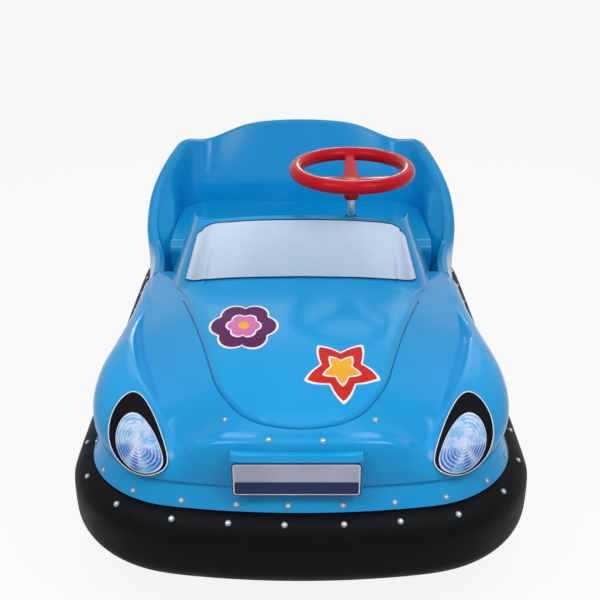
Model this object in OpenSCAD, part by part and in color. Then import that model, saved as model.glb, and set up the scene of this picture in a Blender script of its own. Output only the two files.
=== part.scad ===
// Two-seat battery bumper car: moulded body on a steel frame inside a rubber bumper ring.
// The front faces -Y, +X is the driver's side, and the car stands on z = 0.

/* [Plan] */
// Width of the body at its lower edge
body_w = 1070; // [1030:5:1110]
// Length of the body at its lower edge
body_l = 1730; // [1690:5:1790]
// Radius of the nose and the tail, seen from above
nose_r = 1900; // [1700:50:2200]
// Radius of the four corners, seen from above
corner_r = 270; // [250:5:290]

/* [Body shell] */
// Height of the body's lower edge above the ground
skirt_z = 295; // [292:1:305]
// Height of the band that takes the skirt screws
band_h = 50; // [44:1:56]
// How far the band leans in over its height
band_lean = 30; // [24:1:34]
// How far the body steps out over the band
ledge = 6; // [3:1:8]
// Height of the body above its lower edge
body_h = 520; // [500:5:540]
// Wall of the moulded shells
shell_t = 8; // [6:1:9]
// Height of the step round the raised bonnet panel
bonnet_step = 9; // [4:1:12]
// Radius of the rolled rim round the tub
rim_r = 21; // [18:1:24]
// Diameter of the hole for the steering column in the dash
dash_hole_d = 28; // [26:1:34]

/* [Tub] */
// Half the width of the space inside the tub
well_w = 424; // [414:2:430]
// How far behind the middle of the car the tub's back wall is
well_back = 600; // [580:5:610]
// Radius of the tub's inner corners
well_r = 110; // [90:5:130]
// Height of the seat above the floor pan
seat_h = 315; // [250:5:320]
// Distance of the seat's front face behind the middle of the car
seat_front = 190; // [160:5:220]
// Wall of the seat moulding
seat_t = 8; // [6:1:10]
// Radius along the seat's front edge
seat_edge_r = 34; // [20:2:40]

/* [Bumper] */
// How far the rubber ring stands out past the body's lower edge
ring_out = 55; // [45:1:65]
// Height of the ring's underside
ring_low = 105; // [90:1:120]
// Radius of the ring's two round edges
ring_edge_r = 60; // [45:1:70]
// Distance of the carrier bar inside the body's lower edge
carrier_in = 30; // [27:1:34]
// Thickness of the carrier bar
carrier_t = 6; // [4:1:8]

/* [Frame] */
// Side of the square frame tubes
tube = 40; // [30:1:45]
// Wall of the frame tubes
tube_wall = 3; // [2:0.5:5]
// Height of the frame tubes' top
frame_top = 190; // [185:1:195]
// Distance of each side rail from the middle
rail_x = 260; // [250:2:280]
// Gap between the frame and the floor pan's plate
pan_rise = 32; // [30:1:36]
// Thickness of the floor pan
pan_t = 3; // [2:0.5:4]
// Thickness of the plate that carries the drive unit
mount_t = 8; // [6:1:10]
// Seating gap between pieces that touch
seat_gap = 0.3; // [0.2:0.1:0.5]

/* [Wheels] */
// Diameter of the tyres
tyre_d = 160; // [150:2:164]
// Width of the tyres
tyre_w = 50; // [40:2:54]
// Diameter of the hubs under the tyres
hub_d = 104; // [90:2:116]
// Diameter of the axles
axle_d = 20; // [16:1:24]
// Radial running gap of the bearings
run_gap = 0.05; // [0.02:0.01:0.1]
// Distance of each rear wheel from the middle
rear_x = 370; // [350:5:390]
// Distance of the rear axle behind the middle of the car
rear_y = 480; // [440:5:520]
// Distance of the drive unit's pivot in front of the middle
drive_y = 430; // [410:5:450]

/* [Steering] */
// Distance of the steering column to the driver's side
column_x = 147; // [130:1:160]
// Distance of the steering column in front of the middle
column_y = 20; // [10:1:30]
// Height of the steering wheel's rim
wheel_z = 853; // [830:1:880]
// Outer diameter of the steering wheel
wheel_d = 363; // [335:2:385]
// Thickness of the steering wheel's rim
wheel_rim_d = 40; // [32:1:44]
// Diameter of the steering column
column_d = 20; // [16:1:24]
// Diameter of the sprockets over their teeth
sprocket_d = 112; // [100:2:120]
// Thickness of the sprockets
sprocket_t = 6; // [4:1:8]
// Number of teeth on each sprocket
teeth = 14; // [12:1:18]

/* [Hidden] */

// Colours
BLUE = "#2f9ee0";
RUBBER = "#17181a";
STEEL = "#9aa0a6";
FRAME_BLACK = "#2b2d30";
RED = "#d3202b";

// The plan outline of the body's lower edge: arcs for nose, corners and tail, straight sides
half_w = body_w / 2;
half_l = body_l / 2;
corner_x = half_w - corner_r;
nose_angle = asin(corner_x / (nose_r - corner_r));
nose_cy = nose_r - half_l;
corner_y = nose_cy - (nose_r - corner_r) * cos(nose_angle);
nose_len = nose_r * nose_angle * PI / 180;
corner_len = corner_r * (90 - nose_angle) * PI / 180;
side_end = nose_len + corner_len - 2 * corner_y;
half_round = 2 * (nose_len + corner_len) - 2 * corner_y;

// Direction that the outline faces at distance s from the middle of the nose
function outline_angle(s) =
    s < nose_len ? -90 + s / nose_r * 180 / PI :
    s < nose_len + corner_len ? -90 + nose_angle + (s - nose_len) / corner_r * 180 / PI :
    s < side_end ? 0 : -outline_angle(half_round - s);

function outline_point(s) = let (a = outline_angle(s))
    s < nose_len ? [nose_r * cos(a), nose_cy + nose_r * sin(a)] :
    s < nose_len + corner_len ? [corner_x + corner_r * cos(a), corner_y + corner_r * sin(a)] :
    s < side_end ? [half_w, corner_y + s - nose_len - corner_len] :
    let (p = outline_point(half_round - s)) [p[0], -p[1]];

// Distance along the outline at which the side is y millimetres behind the middle
function side_station(y) = nose_len + corner_len - corner_y + y;

// Small maths used by the shells
function mix(a, b, t) = a + (b - a) * t;
function smooth(t) = t * t * (3 - 2 * t);
function flip(p) = [-p[0], p[1], p[2]];
function flat(rows) = [for (row = rows) each row];
function unit(v) = v / max(norm(v), 1e-9);
function bezier(a, b, c, d, t) =
    pow(1 - t, 3) * a + 3 * pow(1 - t, 2) * t * b + 3 * (1 - t) * t * t * c + pow(t, 3) * d;
function curve(a, b, c, d, t) =
    0.5 * (2 * b + (c - a) * t + (2 * a - 5 * b + 4 * c - d) * t * t
        + (3 * b - a - 3 * c + d) * t * t * t);

// Value of a table's column at the fractional row u
function column(table, col, u, before, after) =
    let (last = len(table) - 1, i = min(floor(u), last - 1),
        p = table[i][col], q = table[i + 1][col])
    curve(i > 0 ? table[i - 1][col] : before, p, q, i < last - 1 ? table[i + 2][col] : after,
        u - i);

// Points of a grid moved along its normals, and the closed wall between two such grids
function grid_normal(g, i, j) =
    let (rows = len(g) - 1, cols = len(g[0]) - 1,
        along = g[min(i + 1, rows)][j] - g[max(i - 1, 0)][j],
        up = g[i][min(j + 1, cols)] - g[i][max(j - 1, 0)])
    unit(cross(along, up));
function grid_offset(g, d) =
    [for (i = [0:len(g) - 1]) [for (j = [0:len(g[0]) - 1]) g[i][j] + d * grid_normal(g, i, j)]];
module wall_between(outer, inner) {
    rows = len(outer) - 1;
    cols = len(outer[0]);
    skin = len(outer) * cols;
    function at(i, j) = i * cols + j;
    faces = concat(
        [for (i = [0:rows - 1], j = [0:cols - 2]) each [
            [at(i, j), at(i + 1, j + 1), at(i + 1, j)],
            [at(i, j), at(i, j + 1), at(i + 1, j + 1)],
            [skin + at(i, j), skin + at(i + 1, j), skin + at(i + 1, j + 1)],
            [skin + at(i, j), skin + at(i + 1, j + 1), skin + at(i, j + 1)]]],
        [for (i = [0:rows - 1]) each [
            [at(i, 0), at(i + 1, 0), skin + at(i + 1, 0)],
            [at(i, 0), skin + at(i + 1, 0), skin + at(i, 0)],
            [at(i, cols - 1), skin + at(i + 1, cols - 1), at(i + 1, cols - 1)],
            [at(i, cols - 1), skin + at(i, cols - 1), skin + at(i + 1, cols - 1)]]],
        [for (j = [0:cols - 2]) each [
            [at(0, j), skin + at(0, j + 1), at(0, j + 1)],
            [at(0, j), skin + at(0, j), skin + at(0, j + 1)],
            [at(rows, j), at(rows, j + 1), skin + at(rows, j + 1)],
            [at(rows, j), skin + at(rows, j + 1), skin + at(rows, j)]]]);
    polyhedron(concat(flat(outer), flat(inner)), faces);
}

// Front shell, right half from the middle of the nose to the rear of the windscreen pillar.
// Heights are above the body's lower edge. All suit a body 1070 wide, 1730 long and 520 high.
// Columns: station along the outline, fullness of the side, how far the side swells out, then
// the points where the shell passes the crown of the wing, the valley beside the bonnet, the
// edge of the bonnet panel, the foot of the windscreen, its top and the rear edge of the dash
STATION = 0;
FULL = 1;
SWELL = 2;
CROWN = 3;
VALLEY = 4;
PANEL = 5;
FOOT = 6;
TOP = 7;
REAR = 8;
SPLIT = 52;
split_y = SPLIT * body_l / 1730;
FRONT = [
    [0, 0.60, 0, [0, -818, 167], [0, -806, 177], [0, -794, 185],
        [0, -190, 277], [0, -78, 441], [0, 52, 384]],
    [140, 0.60, 0, [133, -813, 166], [112, -801, 177], [83, -785, 190],
        [72, -190, 276], [62, -77, 440], [58, 52, 384]],
    [240, 0.50, 0, [228, -796, 152], [202, -784, 168], [140, -752, 196],
        [132, -190, 275], [114, -75, 438], [108, 52, 384]],
    [305, 0.34, 0, [294, -766, 112], [290, -746, 122], [172, -715, 207],
        [180, -189, 273], [156, -73, 435], [148, 52, 383]],
    [370, 0.36, 20, [357, -672, 165], [334, -681, 154], [195, -677, 214],
        [212, -188, 271], [184, -71, 432], [176, 52, 383]],
    [445, 0.42, 32, [400, -600, 190], [357, -610, 160], [213, -635, 221],
        [238, -187, 269], [207, -69, 429], [199, 52, 382]],
    [525, 0.48, 40, [427, -545, 199], [373, -555, 164], [232, -565, 231],
        [261, -186, 267], [227, -67, 427], [218, 52, 382]],
    [615, 0.54, 47, [446, -490, 204], [390, -503, 167], [249, -503, 239],
        [281, -185, 264], [245, -65, 424], [235, 52, 382]],
    [760, 0.58, 46, [461, -410, 205], [416, -420, 172], [272, -425, 246],
        [301, -183, 260], [262, -63, 421], [252, 52, 383]],
    [930, 0.56, 22, [466, -300, 197], [444, -305, 180], [302, -330, 251],
        [325, -173, 254], [281, -59, 418], [270, 52, 385]],
    [1120, 0.52, 4, [464, -130, 189], [452, -130, 190], [350, -185, 238],
        [368, -128, 240], [306, -32, 413], [300, 52, 388]],
    [1315, 0.50, 0, [466, 52, 184], [459, 52, 197], [446, 52, 204],
        [398, 52, 206], [319, 50, 410], [317, 52, 395]]];

function placed(p) = [p[0] * body_w / 1070, p[1] * body_l / 1730, skirt_z + p[2] * body_h / 520];
function front_column(col, u) =
    let (last = len(FRONT) - 1)
    column(FRONT, col, u, col <= SWELL ? FRONT[1][col] : flip(FRONT[1][col]),
        2 * FRONT[last][col] - FRONT[last - 1][col]);
function front_station(u) =
    let (last = len(FRONT) - 1, i = min(floor(u), last - 1))
    mix(FRONT[i][STATION], FRONT[i + 1][STATION], u - i) * side_station(split_y) / 1315;
function front_place(col, u) = placed(front_column(col, u));

// The band over the lower edge, and the point where the side starts above it
function band(s) =
    let (p = outline_point(s), a = outline_angle(s), n = [cos(a), sin(a)],
        top = p - band_lean * n, out = top + ledge * n)
    [[p[0], p[1], skirt_z], [top[0], top[1], skirt_z + band_h],
        [out[0], out[1], skirt_z + band_h + ledge * 0.7]];

// Point on the wing or nose, at share t of the way from the band to the crown
function face_point(u, t) =
    let (s = front_station(u), low = band(s)[2], crown = front_place(CROWN, u),
        f = front_column(FULL, u), a = outline_angle(s),
        out = front_column(SWELL, u) * [cos(a), sin(a), 0])
    bezier(low, low + out + [0, 0, f * (crown[2] - low[2])],
        [mix(crown[0], low[0], f), mix(crown[1], low[1], f), crown[2]] + 0.6 * out, crown, t);

// One section of the front shell, from the lower edge to the rear of the dash. The bonnet is a
// low cushion that rises by a step within its edge
step_run = 8;
lid_camber = 0.042;
function front_section(u) =
    let (edge = band(front_station(u)), crown = front_place(CROWN, u),
        valley = front_place(VALLEY, u), panel = front_place(PANEL, u),
        foot = front_place(FOOT, u), top = front_place(TOP, u), rear = front_place(REAR, u),
        along = front_place(PANEL, u + 0.1) - front_place(PANEL, max(u - 0.1, 0)),
        inward = unit([-along[1], along[0], 0]),
        raised = panel + step_run * inward + [0, 0, bonnet_step * (1 - smooth(max(u - 9, 0) / 2))],
        step = [raised[0], min(raised[1], split_y), raised[2]],
        camber = lid_camber * norm(foot - step))
    concat(
        edge,
        [for (k = [1:6]) face_point(u, k / 6)],
        [for (k = [1:3]) let (t = k / 3) [mix(crown[0], valley[0], t),
            mix(crown[1], valley[1], t), mix(crown[2], valley[2], pow(t, 1.6))]],
        [for (k = [1:2]) mix(valley, panel, k / 2)],
        [step],
        [for (t = [0.13, 0.5, 0.93]) mix(step, foot, t) + [0, 0, camber * 4 * t * (1 - t)]],
        [for (t = [0.08, 0.5, 0.95]) mix(foot, top, t)],
        [for (t = [0.07, 1]) mix(top, rear, t)]);

FRONT_STEPS = 3;
front_rows = (len(FRONT) - 1) * FRONT_STEPS;
function front_grid() =
    [for (k = [-front_rows:front_rows])
        let (section = front_section(abs(k) / FRONT_STEPS))
        [for (p = section) k < 0 ? flip(p) : p]];

dash_depth = 60;
module front_shell() color(BLUE) difference() {
    skin = front_grid();
    inside = [for (line = grid_offset(skin, -shell_t))
        [for (p = line) [p[0], min(p[1], split_y), p[2]]]];
    wall_between(skin, inside);
    translate([column_x, -column_y, placed(FRONT[0][REAR])[2] - dash_depth])
        cylinder(h = 2 * dash_depth, d = dash_hole_d, $fn = 48);
}

// Rear shell, right half from the pillar to the middle of the tail.
// Columns: station along the outline, distance along the tub's inner plan, top of the rim
WELL = 1;
RIM = 2;
REAR_TABLE = [
    [1315, 0, [446, 52, 205]],
    [1400, 85, [452, 137, 208]],
    [1480, 165, [466, 217, 212]],
    [1545, 225, [487, 280, 222]],
    [1590, 275, [499, 325, 262]],
    [1625, 315, [498, 365, 310]],
    [1690, 370, [489, 425, 360]],
    [1790, 438, [461, 510, 414]],
    [1900, 482, [432, 578, 450]],
    [1995, 525, [408, 622, 470]],
    [2090, 568, [364, 660, 457]],
    [2200, 611, [310, 684, 460]],
    [2330, 740, [205, 694, 503]],
    [2430, 830, [100, 697, 517]],
    [2527, 925, [0, 698, 520]]];
function rear_column(col, u) =
    let (last = len(REAR_TABLE) - 1)
    column(REAR_TABLE, col, u, 2 * REAR_TABLE[0][col] - REAR_TABLE[1][col],
        col == RIM ? flip(REAR_TABLE[last - 1][col])
        : 2 * REAR_TABLE[last][col] - REAR_TABLE[last - 1][col]);
function rear_station(u) =
    let (start = side_station(split_y), share = (rear_column(STATION, u) - 1315) / 1212)
    mix(start + seat_gap, half_round, share);

// The tub's inner plan: straight side, round corner and straight back
well_side = well_back - well_r - split_y;
well_turn = well_r * PI / 2;
well_len = well_side + well_turn + well_w - well_r;
function well_point(w) =
    w < well_side ? [well_w, split_y + seat_gap + w] :
    w < well_side + well_turn ?
        let (a = (w - well_side) / well_r * 180 / PI)
        [well_w - well_r + well_r * cos(a), well_back - well_r + well_r * sin(a)] :
    [max(well_len - w, 0), well_back];
// The tub's corners are chords too, so what stands in them has a rounder corner
corner_relief = 7;
module well_plan(gap, front) {
    w = well_w - gap;
    back = well_back - gap;
    r = well_r + corner_relief;
    translate([-w, front]) square([2 * w, back - r - front]);
    translate([-w + r, front]) square([2 * (w - r), back - front]);
    for (side = [-1, 1])
        translate([side * (w - r), back - r]) circle(r = r, $fn = 96);
}

function rear_heart(u) =
    let (rim = placed(rear_column(RIM, u))) [rim[0], max(rim[1], split_y + seat_gap), rim[2] - rim_r];
// Point on the tub's outer side, at share t of the way from the band to the rim
function rear_point(u, t) =
    let (s = rear_station(u), low = band(s)[2], a = outline_angle(s),
        shoulder = rear_heart(u) + rim_r * [cos(a), sin(a), 0])
    bezier(low, low + [0, 0, 0.4 * (shoulder[2] - low[2])],
        [shoulder[0], shoulder[1], mix(shoulder[2], low[2], 0.3)], shoulder, t);
function rear_section(u) =
    let (s = rear_station(u), edge = band(s), a = outline_angle(s),
        out = [cos(a), sin(a), 0], rim = placed(rear_column(RIM, u)), heart = rear_heart(u),
        well = well_point(rear_column(WELL, u) * well_len / 925), lip = heart - rim_r * out,
        sill = min(rim[2] - rim_r - 40, pan_top + seat_h + 55),
        knee = [well[0], well[1], sill])
    concat(
        edge,
        [for (t = [0.2, 0.45, 0.75]) rear_point(u, t)],
        [for (k = [0:4]) heart + rim_r * (cos(45 * k) * out + [0, 0, sin(45 * k)])],
        [for (t = [0.4, 0.8]) mix(lip, knee, smooth(t))],
        [knee - [0, 0, 12], [well[0], well[1], pan_top + seat_gap]]);

REAR_STEPS = 2;
rear_rows = (len(REAR_TABLE) - 1) * REAR_STEPS;
module rear_shell() color(BLUE) {
    right = [for (k = [0:rear_rows]) rear_section(k / REAR_STEPS)];
    skin = concat(right, [for (k = [rear_rows - 1:-1:0]) [for (p = right[k]) flip(p)]]);
    wall_between(skin, grid_offset(skin, -shell_t));
}

// Levels of the frame and the floor
axle_z = tyre_d / 2;
pan_low = frame_top + pan_rise;
pan_top = pan_low + pan_t;
frame_low = frame_top - tube;
carrier_in_face = carrier_in + carrier_t;

// Seat moulding: a lid with a rounded front edge that stands in the tub
module seat_profile(inset) {
    drop = inset > 0 ? 1 : 0;
    depth = well_back - seat_front;
    low = pan_top + seat_gap;
    translate([seat_front + inset, low - drop]) square([depth, seat_h - seat_edge_r + drop]);
    translate([seat_front + seat_edge_r, low - drop]) square([depth, seat_h - inset + drop]);
    translate([seat_front + seat_edge_r, low + seat_h - seat_edge_r])
        circle(r = seat_edge_r - inset, $fn = 64);
}
module seat_bench() color(BLUE) intersection() {
    difference() {
        rotate([90, 0, 90]) linear_extrude(2 * well_w, center = true) seat_profile(0);
        rotate([90, 0, 90]) linear_extrude(2 * (well_w - seat_gap - seat_t), center = true)
            seat_profile(seat_t);
    }
    linear_extrude(pan_top + seat_h + 10) well_plan(seat_gap, seat_front - 1);
}

// Panel that closes the dash towards the driver
module dash_panel() color(BLUE) {
    drop = shell_t + 1.5;
    last = len(FRONT) - 1;
    arch = [for (k = [0:last]) let (p = placed(FRONT[k][REAR]))
        k > last - 3 ? [p[0] - 10, p[2] - drop - 4] : [p[0], p[2] - drop]];
    pillar = placed(FRONT[last][FOOT]);
    right = concat(arch, [[pillar[0] - 16, pillar[2] - 12], [pillar[0] - 30, pillar[2] - 60]]);
    outline = concat(right, [for (k = [len(right) - 1:-1:1]) [-right[k][0], right[k][1]]]);
    translate([0, split_y - 4, 0]) rotate([90, 0, 0]) linear_extrude(shell_t) polygon(outline);
}

// Liner round the foot space, standing on the floor pan
liner_t = 4;
liner_front = 205;
liner_h = 215;
module footwell_liner() color(FRAME_BLACK) {
    w = well_w - 20;
    translate([0, 0, pan_top + seat_gap]) linear_extrude(liner_h) difference() {
        translate([-w, -liner_front]) square([2 * w, liner_front + split_y - 2]);
        translate([-w + liner_t, -liner_front + liner_t])
            square([2 * (w - liner_t), liner_front + split_y]);
    }
}

// Windscreen: a pale panel in front of the sloping frame, on the same rows as the shell
screen_t = 3;
screen_rows = 28;
module windscreen_panel() color("#c5d3e3") {
    grid = [for (k = [-screen_rows:screen_rows])
        let (u = abs(k) / FRONT_STEPS, foot = front_place(FOOT, u), top = front_place(TOP, u),
            corner = pow(abs(k) / screen_rows, 14))
        [for (t = [0.09 + 0.03 * corner, 0.35, 0.65, 0.93 - 0.12 * corner])
            let (p = mix(foot, top, t)) k < 0 ? flip(p) : p]];
    wall_between(grid_offset(grid, screen_t + 0.8), grid_offset(grid, 0.8));
}

// Flat pad on the nose, and the bare number plate on it
plate_w = 296;
plate_h = 90;
plate_t = 3;
plate_x = 10;
pad_w = plate_w + 14;
pad_top = skirt_z + 148 * body_h / 520;
pad_edge = 12;
pad_y = 7 - half_l;
pad_low = skirt_z + band_h + 4;
function nose_t(u, z, low, high, tries) =
    let (m = (low + high) / 2)
    tries == 0 ? m :
    face_point(u, m)[2] < z ? nose_t(u, z, m, high, tries - 1) : nose_t(u, z, low, m, tries - 1);
function nose_point(x, z) =
    let (s = abs(x) * 1315 / side_station(split_y), second = FRONT[1][STATION],
        u = s < second ? s / second : 1 + (s - second) / (FRONT[2][STATION] - second),
        p = face_point(u, nose_t(u, z, 0, 1, 14)))
    [x < 0 ? -p[0] : p[0], p[1], z];
module plate_pad() color(BLUE) {
    xs = [for (k = [0:14]) -plate_x + pad_w * (k / 14 - 0.5)];
    edge_share = pad_edge / (pad_top - pad_low);
    zs = [for (share = [0, 0.08, 0.35, 0.65, 1 - edge_share, 1]) mix(pad_low, pad_top, share)];
    back = [for (x = xs) [for (z = zs) nose_point(x, z) - [0, 0.8, 0]]];
    front = [for (i = [0:14]) [for (j = [0:5])
        let (edge = (i == 0 || i == 14 ? 7 : 0) + (j == 0 ? 5 : j == 5 ? 0.8 * pad_edge : 0))
        [back[i][j][0], pad_y + edge, zs[j]]]];
    wall_between(front, back);
}
module number_plate() color("#c9d2e6")
    translate([-plate_x, pad_y - seat_gap, pad_top - pad_edge - 1]) rotate([90, 0, 0])
    linear_extrude(plate_t) {
        r = 10;
        translate([-plate_w / 2 + r, -plate_h]) square([plate_w - 2 * r, plate_h]);
        translate([-plate_w / 2, r - plate_h]) square([plate_w, plate_h - 2 * r]);
        for (side = [-1, 1], z = [-r, r - plate_h])
            translate([side * (plate_w / 2 - r), z]) circle(r = r, $fn = 48);
    }

// Lamps: oval discs that follow the wing or the tail. A place is its row, its share up the side,
// its half width in rows and its half height in shares
HEADLAMP = [4.42, 0.482, 1.2, 0.42];
HEADLENS = [4.29, 0.41, 0.92, 0.30];
TAILLAMP = [10.2, 0.40, 0.62, 0.15];
function on_face(rear, u, t) = rear ? rear_point(u, t) : face_point(u, t);
function lifted(rear, u, t, lift) =
    let (e = 0.02, p = on_face(rear, u, t),
        n = unit(cross(on_face(rear, u + e, t) - on_face(rear, u - e, t),
            on_face(rear, u, t + e) - on_face(rear, u, t - e))))
    p + lift * n;
function disc_point(rear, place, share, a, lift) =
    lifted(rear, place[0] + share * place[2] * cos(a), place[1] + share * place[3] * sin(a), lift);
module face_disc(rear, place, rings, low, high, dome) {
    spokes = 24;
    cols = rings + 1;
    skin = spokes * cols;
    function layer(lift, bulge) =
        [for (i = [0:spokes - 1], j = [0:rings]) let (share = max(j / rings, 0.02))
            disc_point(rear, place, share, i * 360 / spokes, lift + bulge * (1 - share * share))];
    function at(i, j) = (i % spokes) * cols + j;
    points = concat(layer(high, dome), layer(low, 0),
        [disc_point(rear, place, 0, 0, high + dome), disc_point(rear, place, 0, 0, low)]);
    faces = concat(
        [for (i = [0:spokes - 1], j = [0:rings - 1]) each [
            [at(i, j), at(i + 1, j), at(i + 1, j + 1)], [at(i, j), at(i + 1, j + 1), at(i, j + 1)],
            [skin + at(i, j), skin + at(i + 1, j + 1), skin + at(i + 1, j)],
            [skin + at(i, j), skin + at(i, j + 1), skin + at(i + 1, j + 1)]]],
        [for (i = [0:spokes - 1]) each [
            [at(i, rings), at(i + 1, rings), skin + at(i + 1, rings)],
            [at(i, rings), skin + at(i + 1, rings), skin + at(i, rings)],
            [at(i, 0), 2 * skin, at(i + 1, 0)],
            [skin + at(i, 0), skin + at(i + 1, 0), 2 * skin + 1]]]);
    polyhedron(points, faces);
}
bezel_t = 4;
bezel_seat = 1.9;
module headlamp_bezel(side) color("#101114") mirror([side < 0 ? 1 : 0, 0, 0])
    face_disc(false, HEADLAMP, 3, bezel_seat, bezel_seat + bezel_t, 0);
module headlamp_lens(side) color("#9fd4f5") mirror([side < 0 ? 1 : 0, 0, 0])
    face_disc(false, HEADLENS, 3, bezel_seat + bezel_t + 0.6, bezel_seat + bezel_t + 3, 5);
module tail_lamp(side) color("#b3121c") mirror([side < 0 ? 1 : 0, 0, 0])
    face_disc(true, TAILLAMP, 2, 0.9, 8, 6);

// Stations all round the outline: close together in the corners, far apart on the sides
NOSE_STEPS = 6;
CORNER_STEPS = 8;
quarter = concat([for (k = [0:NOSE_STEPS - 1]) nose_len * k / NOSE_STEPS],
    [for (k = [0:CORNER_STEPS]) nose_len + corner_len * k / CORNER_STEPS]);
half_stations = concat(quarter, [for (k = [len(quarter) - 1:-1:0]) half_round - quarter[k]]);
function beside_outline(s, d) =
    let (p = outline_point(s), a = outline_angle(s)) [p[0] + d * cos(a), p[1] + d * sin(a)];
function outline_loop(d) =
    let (right = [for (s = half_stations) beside_outline(s, d)], last = len(right) - 1)
    concat(right, [for (k = [last - 1:-1:1]) [-right[k][0], right[k][1]]]);

// Section of the rubber ring: flat against the carrier, with two round edges outside
band_len = norm([band_h, band_lean]);
lip_low = skirt_z - shell_t * band_lean / band_len;
lip_in = shell_t * band_h / band_len;
ring_top = lip_low - seat_gap;
function arc(cx, cy, r, from, to, steps) =
    [for (k = [0:steps]) let (a = mix(from, to, k / steps)) [cx + r * cos(a), cy + r * sin(a)]];
module closed_sweep(points, round, sides) {
    function at(i, j) = (i % round) * sides + j % sides;
    polyhedron(points, [for (i = [0:round - 1], j = [0:sides - 1]) each [
        [at(i, j), at(i + 1, j + 1), at(i + 1, j)], [at(i, j), at(i, j + 1), at(i + 1, j + 1)]]]);
}
module bumper_ring() color(RUBBER) {
    edge_x = ring_out - ring_edge_r;
    back = -carrier_in + seat_gap;
    section = concat([[back, ring_top], [back, ring_low]],
        arc(edge_x, ring_low + ring_edge_r, ring_edge_r, -90, 0, 5),
        arc(edge_x, ring_top - ring_edge_r, ring_edge_r, 0, 90, 5));
    loops = [for (p = section) outline_loop(p[0])];
    round = len(loops[0]);
    sides = len(section);
    closed_sweep([for (i = [0:round - 1], j = [0:sides - 1])
        [loops[j][i][0], loops[j][i][1], section[j][1]]], round, sides);
}

carrier_low = ring_low + 10;
// The shells' corners are chords, which reach a little lower inside than the round outline
corner_drop = 3;
carrier_top = lip_low + (carrier_in - lip_in) * band_h / band_lean - seat_gap - corner_drop;
module bumper_carrier() color(STEEL) {
    outer = outline_loop(-carrier_in);
    inner = outline_loop(-carrier_in_face);
    n = len(outer);
    translate([0, 0, carrier_low]) linear_extrude(carrier_top - carrier_low)
        polygon(concat(outer, inner), [[for (k = [0:n - 1]) k], [for (k = [0:n - 1]) n + k]]);
}

// Square frame tubes
function carrier_y(x) = nose_cy - sqrt(pow(nose_r - carrier_in_face, 2) - x * x);
chord_in = corner_r * (1 - cos(45 / CORNER_STEPS));
function carrier_x(y) =
    y < -corner_y ? half_w - carrier_in_face :
    corner_x + sqrt(pow(corner_r - carrier_in_face, 2) - pow(y + corner_y, 2)) - chord_in;
module tube_along_y(length) translate([0, 0, frame_low]) difference() {
    translate([-tube / 2, -length / 2, 0]) cube([tube, length, tube]);
    translate([-tube / 2 + tube_wall, -length / 2 - 1, tube_wall])
        cube([tube - 2 * tube_wall, length + 2, tube - 2 * tube_wall]);
}
module side_rail(side) color(FRAME_BLACK) translate([side * rail_x, 0, 0])
    tube_along_y(2 * (-carrier_y(rail_x + tube / 2) - seat_gap));
// A cross member: one piece between the rails and one outside each of them
module cross_member(y) color(FRAME_BLACK) translate([0, y, 0]) {
    inner = 2 * (rail_x - tube / 2 - seat_gap);
    outer = carrier_x(abs(y) + tube / 2) - rail_x - tube / 2 - 2 * seat_gap;
    rotate([0, 0, 90]) tube_along_y(inner);
    for (side = [-1, 1]) translate([side * (rail_x + tube / 2 + seat_gap + outer / 2), 0, 0])
        rotate([0, 0, 90]) tube_along_y(outer);
}
cross_in_front = 215;
cross_in_rear = 245;
seat_to_battery = 60;
CROSS_Y = [cross_in_front - half_l, -liner_front, seat_front + seat_to_battery, half_l - cross_in_rear];

module drive_mount() color(FRAME_BLACK) {
    half_x = rail_x + tube / 2;
    translate([0, -drive_y, frame_top + seat_gap]) difference() {
        union() {
            linear_extrude(mount_t) square([2 * half_x, 200], center = true);
            translate([0, 0, -14]) cylinder(h = 14, d = 90, $fn = 72);
        }
        translate([0, 0, -20]) cylinder(h = 60, d = 2 * (stem_r + run_gap), $fn = 72);
    }
}

module floor_pan() color("#55585c") {
    hole = column_d + 10;
    w = well_w + shell_t;
    difference() {
        translate([-w, -liner_front, pan_low]) cube([2 * w, liner_front + well_back + shell_t, pan_t]);
        translate([column_x, -column_y, pan_low - 1]) cylinder(h = pan_t + 2, d = hole, $fn = 48);
    }
    for (side = [-1, 1]) difference() {
        translate([side * rail_x - tube / 2, -liner_front + 10, frame_top + seat_gap])
            cube([tube, liner_front + well_back - 20, pan_rise - seat_gap]);
        translate([side * rail_x - tube / 2 + pan_t, -liner_front, frame_top + seat_gap - 1])
            cube([tube - 2 * pan_t, liner_front + well_back + 20, pan_rise - seat_gap + 1]);
    }
}

battery = [520, 300, 190];
module battery_pack() color("#1f2124")
    translate([-battery[0] / 2, seat_front + seat_to_battery, pan_top + seat_gap]) cube(battery);

module accelerator_pedal() color(STEEL) translate([60, -120, pan_top + seat_gap]) {
    translate([-40, 0, 0]) cube([80, 60, 5]);
    translate([-35, 52, 4]) rotate([-28, 0, 0]) mirror([0, 1, 0]) cube([70, 120, 5]);
}

// Steering: wheel, column, bearings, sprockets and the chain between them
chain_z = frame_top + seat_gap + mount_t + 7;
column_low = chain_z - 6;
hub_h = 87;
wheel_dish = 36;
module steering_wheel() color(RED) translate([column_x, -column_y, wheel_z]) {
    rim = (wheel_d - wheel_rim_d) / 2;
    rotate_extrude($fn = 120) translate([rim, 0]) circle(d = wheel_rim_d, $fn = 48);
    difference() {
        union() {
            translate([0, 0, -hub_h]) cylinder(h = hub_h - wheel_dish + 13, d1 = 42, d2 = 60, $fn = 64);
            for (a = [90, 210, 330]) rotate([0, 0, a]) hull() {
                translate([12, 0, -wheel_dish - 10]) cylinder(h = 18, d = 44, $fn = 24);
                translate([rim - 2, 0, -9]) cylinder(h = 14, d = 26, $fn = 24);
            }
        }
        translate([0, 0, -hub_h - 1]) cylinder(h = 31, d = column_d + 2 * run_gap, $fn = 64);
    }
}
module steering_column() color(STEEL) translate([column_x, -column_y, column_low])
    cylinder(h = wheel_z - hub_h + 28 - column_low, d = column_d, $fn = 64);
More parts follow.
